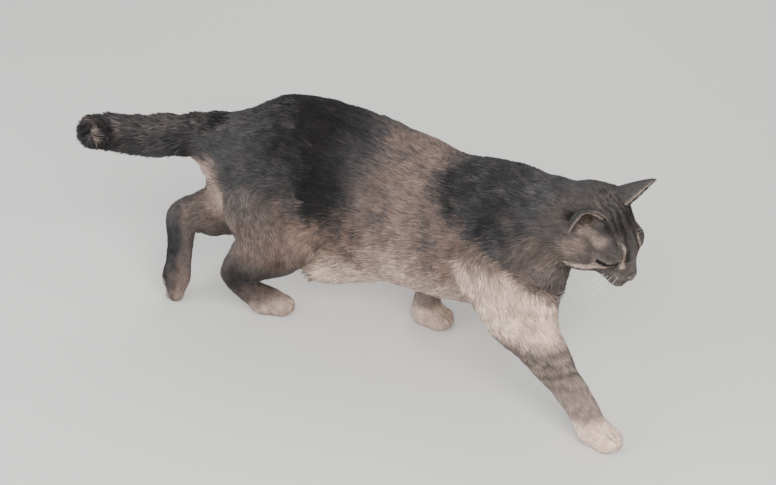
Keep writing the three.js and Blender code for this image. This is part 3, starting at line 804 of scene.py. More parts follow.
def face_normals(points, faces):
    a, b, c = points[faces[:, 0]], points[faces[:, 1]], points[faces[:, 2]]
    return np.cross(b - a, c - a)


def vertex_normals(points, faces):
    flat = face_normals(points, faces)
    total = np.zeros_like(points)
    for k in range(3):
        np.add.at(total, faces[:, k], flat)
    return unit(total)


skin_normals = vertex_normals(skin_points, skin_faces)

# ---- Markings: how slate, cream or dark the coat is at a place ----


# The line of the tail's painted highlight, along the rim of its curl
TAIL_HIGHLIGHT = settle(vec([-350, -13, 231], [-339, -38, 238], [-326, -46, 233], [-313, -50, 223]), skin_field, 8)


def foreleg_marks(name, points, along, _around, soft, fine, streak, grain):
    """Dark ticks on an upper leg made pale by painted sunlight, with painted shade at its top, bands on grey
    below, and a pale paw, its cream partly painted sunlight.
    """
    z = points[:, 2]
    wavy = z + 16 * soft + 9 * fine
    bands = bump(wavy, 99, 4) + bump(wavy, 88, 3.5) + bump(wavy, 77, 4) + 0.6 * bump(wavy, 65, 3.5)
    grey = smoothstep(116, 96, z) * smoothstep(22, 40, z)
    # Slate and dark at the leg's top, by the shoulder: partly the coat's own and partly painted shade
    slate = 0.02 + 0.80 * smoothstep(164, 214, z + 26 * soft + 18 * fine)
    slate = slate + 0.56 * smoothstep(116, 94, z) * smoothstep(42, 70, z)
    slate = share(slate + bands * 0.55 * smoothstep(0.2, 0.4, along) + grain * 0.5)
    slate = np.maximum(slate, 0.80 * grey)
    # The upper leg's pale band is painted sunlight; the pale paw is partly its own cream and partly painted
    # sunlight
    pale = smoothstep(40, 22, z) + 0.80 * smoothstep(188, 152, z + 20 * soft) * smoothstep(96, 118, z)
    cream = share(pale + 0.10 + 0.20 * grey * (1 - share(bands)) + 0.3 * grain)
    dashes = smoothstep(0.50, 0.80, noise(points * [1, 1, 0.5], 5.0, 11.0) + 0.4 * streak)
    dark = 0.4 * smoothstep(175, 215, z) + 0.40 * dashes * smoothstep(96, 130, z)
    dark = share(dark + 0.24 * share(bands) * grey)
    # The left foreleg, on the far side, is the same leg painted darker: painted shade
    if name == "fore_left":
        slate, cream = share(slate + 0.10), cream * 0.62
    return slate, cream, dark


def hindleg_marks(name, points, _along, _around, soft, _fine, streak, grain):
    """Slate with a darker hock. The left leg, on the far side, is painted darker as shade, paler inside, and
    has dark pads' edges behind.
    """
    x, y, z = points.T
    slate = 0.56 + 0.34 * smoothstep(110, 180, z + 40 * soft) + 0.40 * bump(z, 76, 30)
    slate = share(slate + grain * 0.9)
    cream = share(smoothstep(34, 14, z) * 0.55 + 0.05 + 0.3 * grain)
    dark = share(0.16 + 0.50 * bump(z, 70, 28) + 0.5 * streak)
    if name == "hind_left":
        middle = np.interp(x, [-264, -230, -172], [20, 44, 64])
        inside = smoothstep(6, -10, y - middle) * smoothstep(-266, -256, x)
        # The far leg's extra slate and lower cream are painted shade
        slate = share(slate + 0.20 - 0.30 * inside)
        cream = share(cream * 0.25 + 0.05 * inside)
        dark = dark * (1 - 0.7 * inside)
        stripe = smoothstep(-262, -272, x) * smoothstep(2, 8, z) * smoothstep(98, 80, z)
        dark = np.maximum(dark, stripe * 0.75)
    return slate, cream, dark


def tail_marks(_name, points, along, around, soft, _fine, _streak, grain):
    """Rings across its top, a dark root, and a painted highlight along the rim of the curl."""
    side = np.abs(around - 0.5)
    rings = 0.5 + 0.5 * np.cos(2 * math.pi * (along * 19 + side * 2.6 + 0.5 * soft))
    top = smoothstep(0.42, 0.18, side)
    slate = share(0.90 + 0.10 * top + grain * 0.4)
    cream = share(0.05 * (1 - rings) * top - 0.1 * grain)
    dark = share(0.36 + 0.30 * smoothstep(0.35, 0.0, along) + 0.40 * rings * top + 0.6 * grain)
    # A pale line along the curl's rim, with its dark taken out: a painted highlight
    rim = stroke(points, TAIL_HIGHLIGHT, 0.5, 1.4)
    return slate, np.maximum(cream, 0.22 * rim), dark * (1 - rim)


LIMB_MARKS = {"fore": foreleg_marks, "hind": hindleg_marks, "tail": tail_marks}


def markings(points):
    """Weights from 0 to 1: slate over fawn, cream over both, and dark stripes over all."""
    x, y, z = points.T
    *_, chain, along, around = body_map(points)
    names = np.array(CHAIN_NAMES)[chain]
    soft = noise(points, 30) - 0.5
    fine = noise(points * [1, 1, 0.55], 6.5) - 0.5
    streak = noise(points * [1, 1, 0.35], 3.4) - 0.5
    rough = 34 * soft + 22 * fine + 16 * streak
    ticks = smoothstep(0.52, 0.80, noise(points * [1, 1, 0.5], 6.0, 7.0) + 0.35 * streak)

    # Trunk: a dark back, broken by a warm saddle that is partly the coat's fawn and partly painted sunlight,
    # over a pale belly
    ahead = smoothstep(60, 110, x)
    back_top = smoothstep(112 + 62 * ahead, 190 + 34 * ahead, z + rough)
    rear_edge = x - 0.45 * (z - 200) + 1.1 * rough
    front_edge = x + 0.15 * (z - 190) + 0.8 * rough
    # The saddle's mask: the fawn middle of the trunk, partly the coat's own colour and partly painted
    # sunlight
    warm_and_sunlit = smoothstep(-48, 58, rear_edge) * smoothstep(124, 58, front_edge)
    slate = back_top * (1 - 0.84 * warm_and_sunlit)
    slate = share(slate + (0.45 * ticks + 0.6 * streak * (1 - warm_and_sunlit)) * smoothstep(70, 120, z))
    cream = smoothstep(124, 68, z + 24 * soft + 26 * fine) * smoothstep(-190, -120, x) * (1 - 0.4 * ticks)
    cream = np.maximum(cream, 0.06 * warm_and_sunlit * (1 - ticks))
    front_low = smoothstep(-30, 40, x) * smoothstep(176, 112, z + 20 * soft + 20 * fine)
    cream = np.maximum(cream, 0.60 * front_low * (1 - 0.5 * ticks))
    # The loin band, the shoulder patch and the rump are darkened partly as the coat's own dark and partly as
    # painted shade
    loin_line = x + 72 + 0.26 * (z - 240) + 0.8 * rough
    loin = bump(loin_line, 0, 36 + 0.30 * np.clip(z - 150, 0, 99)) * smoothstep(112, 180, z + rough)
    shoulder = smoothstep(74, 118, front_edge) * smoothstep(215, 165, x) * smoothstep(184, 226, z + rough)
    rump = smoothstep(-100, -130, x + rough) * smoothstep(150, 190, z + rough)
    dark = 0.12 * back_top * (1 - warm_and_sunlit) + 0.92 * loin + 0.50 * shoulder + 0.12 * rump
    dark = share(dark + 0.45 * (fine + streak) * back_top) * (1 - 0.8 * warm_and_sunlit)

    # Legs and tail, each with its own marks
    grain = soft * 0.35 + fine * 0.5 + streak * 0.3
    for name in CHAIN_NAMES:
        here = names == name
        if name[:4] in LIMB_MARKS and here.any():
            local = (a[here] for a in (points, along, around, soft, fine, streak, grain))
            slate[here], cream[here], dark[here] = LIMB_MARKS[name[:4]](name, *local)

    # Painted shade in the clefts between the toes
    for place, width, reach in PAWS.values():
        q = place.inside(points)
        across = q[:, 1] * 1.5 / (width / 2 - TOE_RADIUS + 1)
        toe = smoothstep(0.22, 0.36, q[:, 0] / reach)
        toe = toe * (norms(q) < 45) * (np.abs(across) < 1.5)
        dark = np.maximum(dark, 0.55 * toe * bump(across - np.round(across), 0, 0.11))

    # Dark neck, partly its own slate and partly painted shade; fawn flank and pale buttock
    neck = np.isin(names, ["neck", "chest"]) * smoothstep(128, 150, x)
    neck = neck * smoothstep(126, 172, z + 20 * soft + 14 * fine)
    slate = np.maximum(slate, 0.88 * neck * (1 + 0.5 * streak))
    dark = np.maximum(dark, share(0.22 + 0.6 * fine + 0.5 * streak) * neck)
    cream = cream * (1 - 0.8 * neck)
    flank = bump(x + 24 * soft, -110, 40) * bump(z + 20 * soft, 134, 26) * smoothstep(20, -10, y)
    slate = slate * (1 - 0.72 * flank * (1 - 0.6 * ticks))
    dark = dark * (1 - 0.75 * flank) + 0.35 * flank * ticks
    buttock = bump(x, -205, 20) * smoothstep(200, 180, z) * smoothstep(95, 125, z)
    cream = np.maximum(cream, buttock * 0.42)
    slate = slate * (1 - 0.6 * buttock)
    dark = dark * (1 - buttock)
    return head_markings(HEAD.inside(points), slate, cream, dark, soft, fine)


def settled_strokes(rows):
    return [(weight, settle(vec(*line), head_masses), radius, fade) for weight, line, radius, fade in rows]


# Each stroke: strength, line in the head's frame, radius and fade
DARK_STROKES = settled_strokes((
    (0.60, ([43, 20, 12], [42, 19.6, 14.5], [31, 16, 22], [22, 17, 28], [13, 19.5, 32]), 0.9, 1.9),
    (0.60, ([54.6, 6.3, 1.8], [48, 7.7, 13], [37, 5.7, 23], [21, 3.8, 33]), 1.0, 2.0),
    (0.85, ([48, 13, -6], [47, 12, 1], [44, 14, 7]), 0.9, 1.6),
    (0.30, ([30, 31, -4], [18, 38, -6], [0, 44, -6]), 0.8, 2.0),
    (0.30, ([32, 30, -17], [20, 37, -21], [4, 42, -24]), 0.8, 2.0),
    (0.70, ([-12, 35, 18], [-7, 34, 24]), 2.6, 3.0),
    (0.60, ([3, 26, 32], [9, 22, 33]), 2.0, 2.6),
))
PALE_STROKES = settled_strokes((
    (0.26, ([5, 36, 28], [9, 35, 21], [21, 28, 16], [29, 29, 14]), 2.0, 4.0),
    (0.34, ([50, 9.5, 3], [48, 11, 8], [43, 12, 14]), 0.7, 1.6),
    (0.70, ([44, 21, -9], [34, 30, -11], [24, 36, -12], [15, 40, -14]), 1.2, 1.9),
    (0.45, ([56, 7.5, -7], [52, 8.5, -1]), 0.8, 1.6),
    (0.16, ([14, 41, 5], [9, 44, -4]), 4.0, 5.0),
))


def head_markings(h, slate, cream, dark, soft, fine):
    """The tabby face: stripes up the brow, lined eyes, a pale cheek streak, muzzle and chin."""
    on_head = smoothstep(-42, -18, h[:, 0]) * smoothstep(98, 84, norms(h))
    m = mirrored(h)
    x, y, z = m.T
    s = 0.94 + 0.3 * soft + 0.4 * fine
    s = s - 0.12 * smoothstep(-2, -26, z) * smoothstep(14, 30, y)
    c = 0.06 + 0.3 * fine
    d = 0.16 + 0.16 * smoothstep(4, 26, x) * smoothstep(0, 12, z) + 0.5 * fine
    brow = smoothstep(14, 28, z) * smoothstep(-16, 0, x)
    lines = bump(y, 3.4, 1.7) + bump(y, 10.5, 1.9) + bump(y, 18, 2.1)
    d = np.maximum(d, share(lines) * brow * 0.7)
    for weight, *line in DARK_STROKES:
        d = np.maximum(d, weight * stroke(m, *line))
    for weight, *line in PALE_STROKES:
        mark = stroke(m, *line)
        c = np.maximum(c, weight * mark)
        d = d * (1 - 0.8 * mark)
        s = s * (1 - 0.4 * mark)
    c = np.maximum(c, 0.80 * smoothstep(-23, -31, z) * smoothstep(24, 34, x))
    c = np.maximum(c, 0.26 * np.exp(-((norms(m - [57, 9, -25]) - 5).clip(0) / 5) ** 2))
    c = np.maximum(c, 0.08 * smoothstep(30, 40, y) * smoothstep(-4, -18, z) * smoothstep(26, 6, x))
    s = share(s)
    outside, r = slit_distance(m, 1)
    near_eye = r < 19
    rim = smoothstep(3.0, 1.3, outside) * near_eye
    below = (eye_angles(m, 1)[2] < -24) * near_eye
    c = np.maximum(c, 0.5 * bump(outside, 4.2, 1.2) * below)
    lid = smoothstep(9.0, 4.0, outside) * near_eye * ~(below > 0)
    d = np.maximum(d * (1 - 0.7 * lid), rim)
    c = np.maximum(c, 0.16 * lid)
    # The whole head is darkened, more towards its back and on the forward brow: partly its own slate-grey and
    # partly painted shade
    d = d + 0.14 + 0.14 * smoothstep(6, -14, x) + 0.22 * brow * smoothstep(6, 22, x)
    # In the ears' hollows the fur is pale, and darker towards the back of the hollow as painted shade
    in_ear = smoothstep(1.6, 0.4, np.abs(ear_hollow(h))) * smoothstep(-20, -12, h[:, 0])
    c = np.maximum(c * (1 - in_ear), 0.24 * in_ear)
    s = s * (1 - 0.5 * in_ear)
    d = d * (1 - in_ear) + in_ear * 0.75 * smoothstep(6, -6, h[:, 0])
    face = (slate, s), (cream, c * (1 - rim)), (dark, d)
    return [a * (1 - on_head) + share(b) * on_head for a, b in face]


# ---- The coat: tufts of four faces, a root, a raised ridge and a tip ----

TUFTS = 350000
MOST_IN_PIECE = 49000   # so that a piece stays under 200,000 triangles, four to a tuft
SLOPE_STEP = 1.8


def skin_height(points):
    return sample(SKIN_GRID, NET_LOW, points, NET_CELL)


def skin_slope(points):
    return unit(slope_of(skin_height, points, SLOPE_STEP))


def scatter(points, faces, wanted, count):
    """Random places on faces, as many for each as its area times what is wanted there."""
    middle = points[faces].mean(1)
    weight = norms(face_normals(points, faces)) * wanted(middle)
    pick = rng.choice(len(faces), count, p=weight / weight.sum())
    r1, r2 = np.sqrt(rng.random(count)), rng.random(count)
    shares = np.stack([1 - r1, r1 * (1 - r2), r1 * r2], 1)
    spots = (points[faces[pick]] * shares[..., None]).sum(1)
    return spots, unit((skin_normals[faces[pick]] * shares[..., None]).sum(1))


def bare(points):
    """True where no hair grows: eyes, nose, lips and the soles."""
    h = HEAD.inside(points)
    m = mirrored(h)
    eye = (slit_distance(m, 1)[0] < 1.1) & (norms(m - EYE) < 16)
    nose = ellipsoid(h, NOSE, NOSE_SIZE) < 0.8
    lips = tube(m, LIPS, [0.5] * 5) < 0.6
    soles = np.zeros(len(points), bool)
    for place, _width, _length in PAWS.values():
        q = place.inside(points)
        soles |= (q[:, 2] < 2.2) & (norms(q) < 40)
    return eye | nose | lips | soles


def wanted_coat(points):
    length = body_map(points)[1]
    return np.clip(17 / length, 0.7, 3.2) * ~bare(points)


roots, root_normals = scatter(skin_points, skin_faces[:BODY_FACES], wanted_coat, TUFTS)
hairy = ~bare(roots)
roots, root_normals = roots[hairy], root_normals[hairy]
depth, length, lie, chain, along, around = body_map(roots)
count = len(roots)
root_chains = np.array(CHAIN_NAMES)[chain]
roots_in_head = HEAD.inside(roots)

# Shorter round the eyes, in the ears' hollows and at the tail's tip, longer on the pouch
eye_gap, eye_range = slit_distance(mirrored(roots_in_head), 1)
eye_gap = np.where(eye_range < 22, eye_gap, 99)
on_pouch = smoothstep(118, 84, roots[:, 2]) * np.isin(root_chains, ["pouch", "belly"])
on_tail = root_chains == "tail"
tail_end = on_tail * smoothstep(0.72, 0.84, along)
in_hollow = smoothstep(2.0, 0.5, np.abs(ear_hollow(roots_in_head)))

# The coat's lie, with a droop underneath and a swirl of its own
length = length * (1 - 0.62 * smoothstep(9, 1, eye_gap))
droop = vec(0, 0, -1) * (0.45 * smoothstep(0.2, -0.2, root_normals[:, 2]) * (length > 12))[:, None]
lie = lie + droop
tangent = laid_flat(lie, root_normals)
sideways = np.cross(root_normals, tangent)
swirl = 0.5 * (noise(roots, 22) - 0.5) + 0.8 * (noise(roots, 7, 9.0) - 0.5)
swirl = swirl + 0.16 * rng.standard_normal(count)
tangent = tangent * np.cos(swirl)[:, None] + sideways * np.sin(swirl)[:, None]

# Each tuft's length, rise and width
length = length * (1 - 0.45 * tail_end)
length = length * rng.uniform(0.7, 1.2, count) * (1 + 0.05 * on_pouch)
rise = depth * (1 - 0.5 * smoothstep(6, 1, eye_gap)) * rng.uniform(0.74, 1.16, count)
length, rise = length * (1 - 0.4 * in_hollow), rise * (1 - 0.75 * in_hollow)
rise = rise * (1 + 0.3 * (noise(roots, 9, 4.0) - 0.5))
rise = rise * (1 + 0.12 * on_tail - 0.4 * tail_end + 0.20 * on_pouch * rng.random(count))
width = (0.36 + 0.060 * length) * rng.uniform(0.7, 1.3, count) * 1.0
RIDGE_PLACE, RIDGE_RISE = 0.42, 0.72        # along the tuft, and how high for its rise
TUFT_FACES = np.array([[0, 2, 1], [0, 3, 2], [2, 3, 1], [1, 3, 0]])


def build_tufts(roots, normals, tangent, length, rise, width, settled=True):
    """Four corners and four shading normals for each tuft: root right, root left, ridge and tip."""
    sideways = np.cross(normals, tangent)
    tips = roots + tangent * length[:, None] + normals * rise[:, None]
    if settled:
        for _ in range(2):
            tips = tips + skin_slope(tips) * (rise - skin_height(tips))[:, None]
    ridges = roots * (1 - RIDGE_PLACE) + tips * RIDGE_PLACE
    over = skin_height(ridges) if settled else rise * RIDGE_PLACE
    ridges = ridges + normals * (rise * RIDGE_RISE - over)[:, None]
    half_width = sideways * (width / 2)[:, None]
    sunk = normals * 0.5
    corners = np.stack([roots - half_width - sunk, roots + half_width - sunk, ridges, tips], 1)
    corners[..., 2] = np.maximum(corners[..., 2], 0.4)
    tip_normals = skin_slope(tips) if settled else normals
    shading = unit(np.stack([
        normals - sideways * 0.45, normals + sideways * 0.45,
        normals * 0.9 - tangent * 0.1, tip_normals + tangent * 0.15], 1))
    return corners, shading


corners, shading = build_tufts(roots, root_normals, tangent, length, rise, width)
slate_mark, cream_mark, dark_mark = markings(roots)
TICKED = 0.17       # the share of tufts with a dark tip over the ground colour
ticked = rng.random(count) < TICKED
dark_mark = np.maximum(dark_mark, 0.42 * ticked * smoothstep(5, 10, length))
root_marks = np.stack([slate_mark, cream_mark, dark_mark, rng.random(count)])

MARKS = ("slate", "cream", "dark", "shade")
PATCH = 0.003       # each tuft's patch in the OFBake map
PATCH_SHAPE = np.array([[-0.5, -0.5], [0.5, -0.5], [0, 0.1], [0, 0.5]]) * PATCH
TUFT_TIP = np.array([0, 0, 0.45, 1.0])


def tuft_piece(name, corners, shading, marks, map_place):
    """One joined mesh of tufts, with its marks, its shading and its OFBake map."""
    n = len(corners)
    faces = (np.arange(n)[:, None, None] * 4 + TUFT_FACES).reshape(-1, 3)
    piece = make_mesh(name, corners.reshape(-1, 3), faces)
    piece.data.normals_split_custom_set_from_vertices(shading.reshape(-1, 3).astype(np.float32))
    values = {key: np.repeat(mark, 4) for key, mark in zip(MARKS, marks)}
    set_attributes(piece, {**values, "tip": np.tile(TUFT_TIP, n)})
    spots = (map_place[:, None, :] + PATCH_SHAPE)[:, TUFT_FACES]
    layer = piece.data.uv_layers.new(name="OFBake")
    layer.uv.foreach_set("vector", share(spots).astype(np.float32).ravel())
    finish_piece(piece, tuft_material)


FAWN = (0.225, 0.152, 0.122)
SLATE = (0.070, 0.069, 0.074)
CREAM = (0.86, 0.645, 0.53)
DARK = (0.012, 0.011, 0.011)
SKIN_SHADE = (0.62, 0.60, 0.60)      # the skin is painted this much darker than its coat, as shade under the fur


def coat_material(name, is_skin):
    """Slate and dark over fawn, with cream, mottled, and darker at the tufts' roots, partly undercoat and
    partly painted shade.
    """
    look = Surface(name, Roughness=0.72, Specular_IOR_Level=0.15, Sheen_Weight=0.02, Sheen_Roughness=0.45)
    place = look.place()
    mottle = look.add("TexNoise", Scale=140, Detail=3, Vector=place)["Fac"]
    colour = look.mixed("MIX", look.attribute("slate"), FAWN, SLATE)
    colour = look.mixed("MIX", look.attribute("cream"), colour, CREAM)
    colour = look.mixed("MIX", look.attribute("dark"), colour, DARK)
    colour = look.mixed("MULTIPLY", 1.0, colour, look.ranged(mottle, 0.55, 1.45))
    if is_skin:
        look.bumps(look.add("TexNoise", Scale=900, Vector=place)["Fac"], 0.5, 0.0006)
        # The skin under the coat is painted darker, as shade
        return look.coloured(look.mixed("MULTIPLY", 1.0, colour, SKIN_SHADE))
    colour = look.mixed("MULTIPLY", 1.0, colour, look.ranged(look.attribute("shade"), 0.66, 1.38))
    # Each tuft is darker towards its root: partly a darker undercoat, partly painted shade among the roots
    return look.coloured(look.mixed("MULTIPLY", 1.0, colour, look.ranged(look.attribute("tip"), 0.62, 1.18)))


skin_material = coat_material("skin", True)
tuft_material = coat_material("coat", False)

skin = make_mesh("skin", skin_points, skin_faces)
set_attributes(skin, dict(zip(MARKS, markings(skin_points))))
finish_piece(skin, skin_material, [*FLESH, "ear_left", "ear_right"])

for number, name in enumerate(CHAIN_NAMES):
    mine = np.flatnonzero(chain == number)
    mine = mine[np.argsort(around[mine])]
    shares = max(1, math.ceil(len(mine) / MOST_IN_PIECE))
    for part, rows in enumerate(np.array_split(mine, shares)):
        turn = around[rows]
        across = (turn - turn.min()) / max(np.ptp(turn), 1e-6)
        map_place = np.stack([0.01 + 0.98 * along[rows], 0.01 + 0.98 * across], 1)
        label = f"coat_{name}" + (f"_{part + 1}" if shares > 1 else "")
        tuft_piece(label, corners[rows], shading[rows], root_marks[:, rows], map_place)

# ---- The ears' coat: short on the back, long pale hairs across the cup from its inner edge ----

# Each kind: count, length, lift and width
EAR_TUFTS = {"back": (6500, 6.2, 1.0, 0.75), "inside": (2600, 5.0, 0.8, 0.6), "fringe": (600, 17.0, 4.5, 0.6)}


def ear_normal(name, v, turn, inset, outward):
    """The cup's normal there: out of its back, or into its hollow."""
    step = 0.01
    along = ear_points(name, v + step, turn, inset) - ear_points(name, v - step, turn, inset)
    across = ear_points(name, v, turn + step, inset) - ear_points(name, v, turn - step, inset)
    normal = unit(np.cross(along, across))
    flip = np.sign(normal @ EARS[name][3])
    flip[flip == 0] = 1
    return unit(along), normal * flip[:, None] * (1 if outward else -1)


def grow_ear(name):
    sets = []
    for column, (kind, (total, length, lift, width)) in enumerate(EAR_TUFTS.items()):
        n = total // 1
        v = 0.03 + 0.95 * rng.random(n) ** (1.4 if kind == "fringe" else 1.2)
        turn = np.pi * rng.random(n)
        if kind == "back":
            turn = np.clip(turn * 1.06 - 0.03 * np.pi, 0, np.pi)
        if kind == "fringe":
            turn = np.pi * (0.02 + 0.30 * rng.random(n) ** 1.5)
            v = v * 0.8
        inset = EAR_COAT if kind == "back" else EAR_COAT + EAR_SKIN * (1 - 0.35 * v)
        up, normal = ear_normal(name, v, turn, inset, kind == "back")
        root = ear_points(name, v, turn, inset)
        lie = up + 0.18 * rng.standard_normal((n, 3))
        if kind == "fringe":
            opposite = unit(ear_points(name, v, np.full(n, np.pi * 0.97), inset) - root)
            lie = opposite * rng.uniform(0.5, 1.0, n)[:, None] + up * rng.uniform(0.5, 1.0, n)[:, None]
        lie = laid_flat(lie, normal)
        long = length * rng.uniform(0.7, 1.15, n) * (1 - 0.4 * v)
        lifted = lift * rng.uniform(0.7, 1.2, n)
        broad = width * rng.uniform(0.8, 1.2, n)
        place, outward, along = HEAD.place(root), normal @ HEAD.axes, lie @ HEAD.axes
        tufts = build_tufts(place, outward, along, long, lifted, broad, settled=False)
        loose = rng.random(n)
        if kind == "back":
            stripes = 0.5 + 0.5 * np.cos(9 * turn + 5 * v)
            slate = 0.98 - 0.08 * stripes * (1 - v)
            # Cream along the ear's edges is a painted highlight where light catches the rim
            cream = 0.02 + 0.34 * smoothstep(0.84, 1, 1 - np.sin(turn))
            dark = 0.22 + 0.12 * smoothstep(0.75, 1, v) + 0.14 * stripes * (1 - v) + 0.12 * loose
        elif kind == "inside":
            # Inside the cup the pale hairs are darker towards its base: painted shade
            slate, cream, dark = 0.4 + 0 * v, 0.26 + 0.2 * loose, 0.6 * smoothstep(0.45, 0.0, v)
        else:
            slate, cream, dark = 0.2 + 0 * v, 0.4 + 0.3 * loose, 0 * v
        marks = np.stack([slate, cream, dark, rng.random(n)], 1)
        spots = np.stack([(column + 0.03 + 0.94 * turn / np.pi) / len(EAR_TUFTS), 0.01 + 0.98 * v], 1)
        sets.append((*tufts, marks, spots))
    corners, shading, marks, spots = (np.concatenate(part) for part in zip(*sets))
    tuft_piece("coat_ear_" + name, corners, shading, marks.T, spots)


for ear_name in EARS:
    grow_ear(ear_name)

# ---- Eyes ----


EYE_LAYERS = {"rim": (0.05, 0.05, 0.02), "white": (0.20, 0.17, 0.15), "pupil": (0.004, 0.004, 0.004)}


def eye_material():
    """A yellow-green iris with a dark rim and a slit pupil, under a wet clear coat."""
    look = Surface("eye", Base_Color=(0.3, 0.3, 0.1), Roughness=0.25, Coat_Weight=1.0, Coat_Roughness=0.03)
    fibres = look.add("TexNoise", Scale=900, Vector=look.place())["Fac"]
    colour = look.mixed("MIX", fibres, (0.20, 0.21, 0.05), (0.46, 0.42, 0.12))
    for key, layer in EYE_LAYERS.items():
        colour = look.mixed("MIX", look.attribute(key), colour, layer)
    return look.coloured(colour)


EYE_MATERIAL = eye_material()


def make_eye(side, node):
    """A globe with a domed cornea, its iris and pupil turned to the gaze."""
    rings, spokes = 40, 56
    gaze = GAZE[side]
    left = unit(np.cross(vec(0, 0, 1), gaze))
    up = np.cross(gaze, left)
    polar, turn = np.pi * np.arange(rings + 1) / rings, 2 * np.pi * np.arange(spokes) / spokes
    p, q = np.meshgrid(polar, turn, indexing="ij")
    dome = EYE_RADIUS + 0.9 * np.exp(-((p / 0.55) ** 4))
    h = (np.cos(p)[..., None] * gaze + (np.sin(p) * np.cos(q))[..., None] * left
         + (np.sin(p) * np.sin(q))[..., None] * up) * dome[..., None]
    points = HEAD.place(h.reshape(-1, 3) + EYE * [1, side, 1])
    piece = make_mesh(node + "_globe", points, ring_quads(rings + 1, spokes))
    angle, wide, tall = (np.degrees(p * part).ravel() for part in (1, np.cos(q), np.sin(q)))
    slit = np.sqrt((wide / 4.5) ** 2 + (tall / 27) ** 2)
    iris, white, pupil = smoothstep(34, 44, angle), smoothstep(46, 50, angle), smoothstep(1.12, 0.95, slit)
    set_attributes(piece, {"rim": iris, "white": white, "pupil": pupil})
    finish_piece(piece, EYE_MATERIAL, [node])


make_eye(1, "eye_left")
make_eye(-1, "eye_right")

# ---- Bare leather: nose and pads ----


def two_tone(name, colour, second, roughness, scale, pebbles=None):
    """One tone in blotches over another, with pebbled leather's bumps if their scale is given."""
    look = Surface(name, Base_Color=colour, Roughness=roughness)
    place = look.place()
    if pebbles:
        look.bumps(look.add("TexVoronoi", Scale=pebbles, Vector=place)["Distance"], 0.5, 0.0004)
    blotch = look.add("TexNoise", Scale=scale, Vector=place)["Fac"]
    return look.coloured(look.mixed("MIX", blotch, colour, second))


def nose_field(h):
    m = mirrored(h)
    f = ellipsoid(h, NOSE, NOSE_SIZE - [0.2, 0.4, 0.3])
    f = smooth_min(f, ellipsoid(m, NOSE + [1.5, 4.6, -0.6], [3.4, 2.9, 3.0]), 1.5)
    low_corner = (m[:, 1] - 3.2) * 0.72 - (h[:, 2] - (NOSE[2] - 2.6)) * 0.69
    f = smooth_max(f, low_corner, 1.2)
    nostril = [68.2, 2.6, -18.2], [67.0, 4.6, -16.8], [64.0, 7.2, -16.2]
    f = smooth_max(f, -tube(m, nostril, [1.15, 1.25, 0.7]), 0.7)
    return smooth_max(f, -tube(h, [[69.5, 0, -13], [69.0, 0, -22]], [0.25, 0.45]), 0.6)


def small_net(field, low, high, cell, place):
    points, quads, _values = surface_net(field, np.asarray(low, float), np.asarray(high, float), cell)
    return place(settle(points, field, 2)), to_triangles(points, quads)


nose_points, nose_faces = small_net(nose_field, NOSE - 9.1, NOSE + 9.1, 0.5, HEAD.place)
nose = make_mesh("nose_leather", nose_points, nose_faces)
nose_leather = two_tone("nose", (0.10, 0.074, 0.078), (0.07, 0.055, 0.06), 0.42, 220, pebbles=1500)
finish_piece(nose, nose_leather, ["nose"])


def pads_field(q, paw):
    """The main pad's three lobes and a pad under each toe, flat where they meet the floor."""
    f = ellipsoid(q, [2, 0, 4.2], [6.5, 8.0, 4.4])
    for side in (-1, 1):
        f = smooth_min(f, ellipsoid(q, [-2.5, 6.2 * side, 4.2], [5.0, 4.4, 4.2]), 2)
    for centre, _size in toes(paw):
        f = np.minimum(f, ellipsoid(q, [centre[0] + 1.5, centre[1], 3.9], [5.4, 3.7, 4.0]))
    return f


TIPTOE = -0.5   # a paw whose forward axis dips below this stands on its toes
TIPTOE_LIFT = 3.6


def paw_pads(paw):
    place = PAWS[paw][0]
    points, faces = small_net(lambda q: pads_field(q, paw), [-14, -20, -3], [34, 20, 11], 1.0, place.place)
    if place.axes[0, 2] < TIPTOE:
        points = points - TIPTOE_LIFT * place.axes[2]
    points[:, 2] = np.maximum(points[:, 2], 0.0)
    return points, faces


pads = make_mesh("pads", *joined(map(paw_pads, PAWS)))
pad_leather = two_tone("pads", (0.16, 0.11, 0.11), (0.24, 0.16, 0.16), 0.6, 220, pebbles=1100)
finish_piece(pads, pad_leather)

# ---- Whiskers and claws: tapered bent rods ----


def rods(lines, radii, sides=5):
    """Closed tapered tubes along lines of points, all in one mesh."""
    turn = 2 * np.pi * np.arange(sides) / sides
    cap = np.stack([np.zeros(sides - 2, int), np.arange(1, sides - 1), np.arange(2, sides)], 1)
    parts = []
    for line, (start, end) in zip(lines, radii):
        n = len(line)
        along = unit(np.gradient(line, axis=0))
        across = unit(np.cross(along, vec(0.31, 0.2, 0.93)))
        above = np.cross(along, across)
        ring = across[:, None] * np.cos(turn)[:, None] + above[:, None] * np.sin(turn)[:, None]
        points = line[:, None] + ring * np.linspace(start, end, n)[:, None, None]
        faces = [halved(quads) for quads in np.split(ring_quads(n, sides), n - 1)]
        faces += [cap, (n - 1) * sides + cap[:, ::-1]]
        parts.append((points.reshape(-1, 3), np.concatenate(faces)))
    return joined(parts)


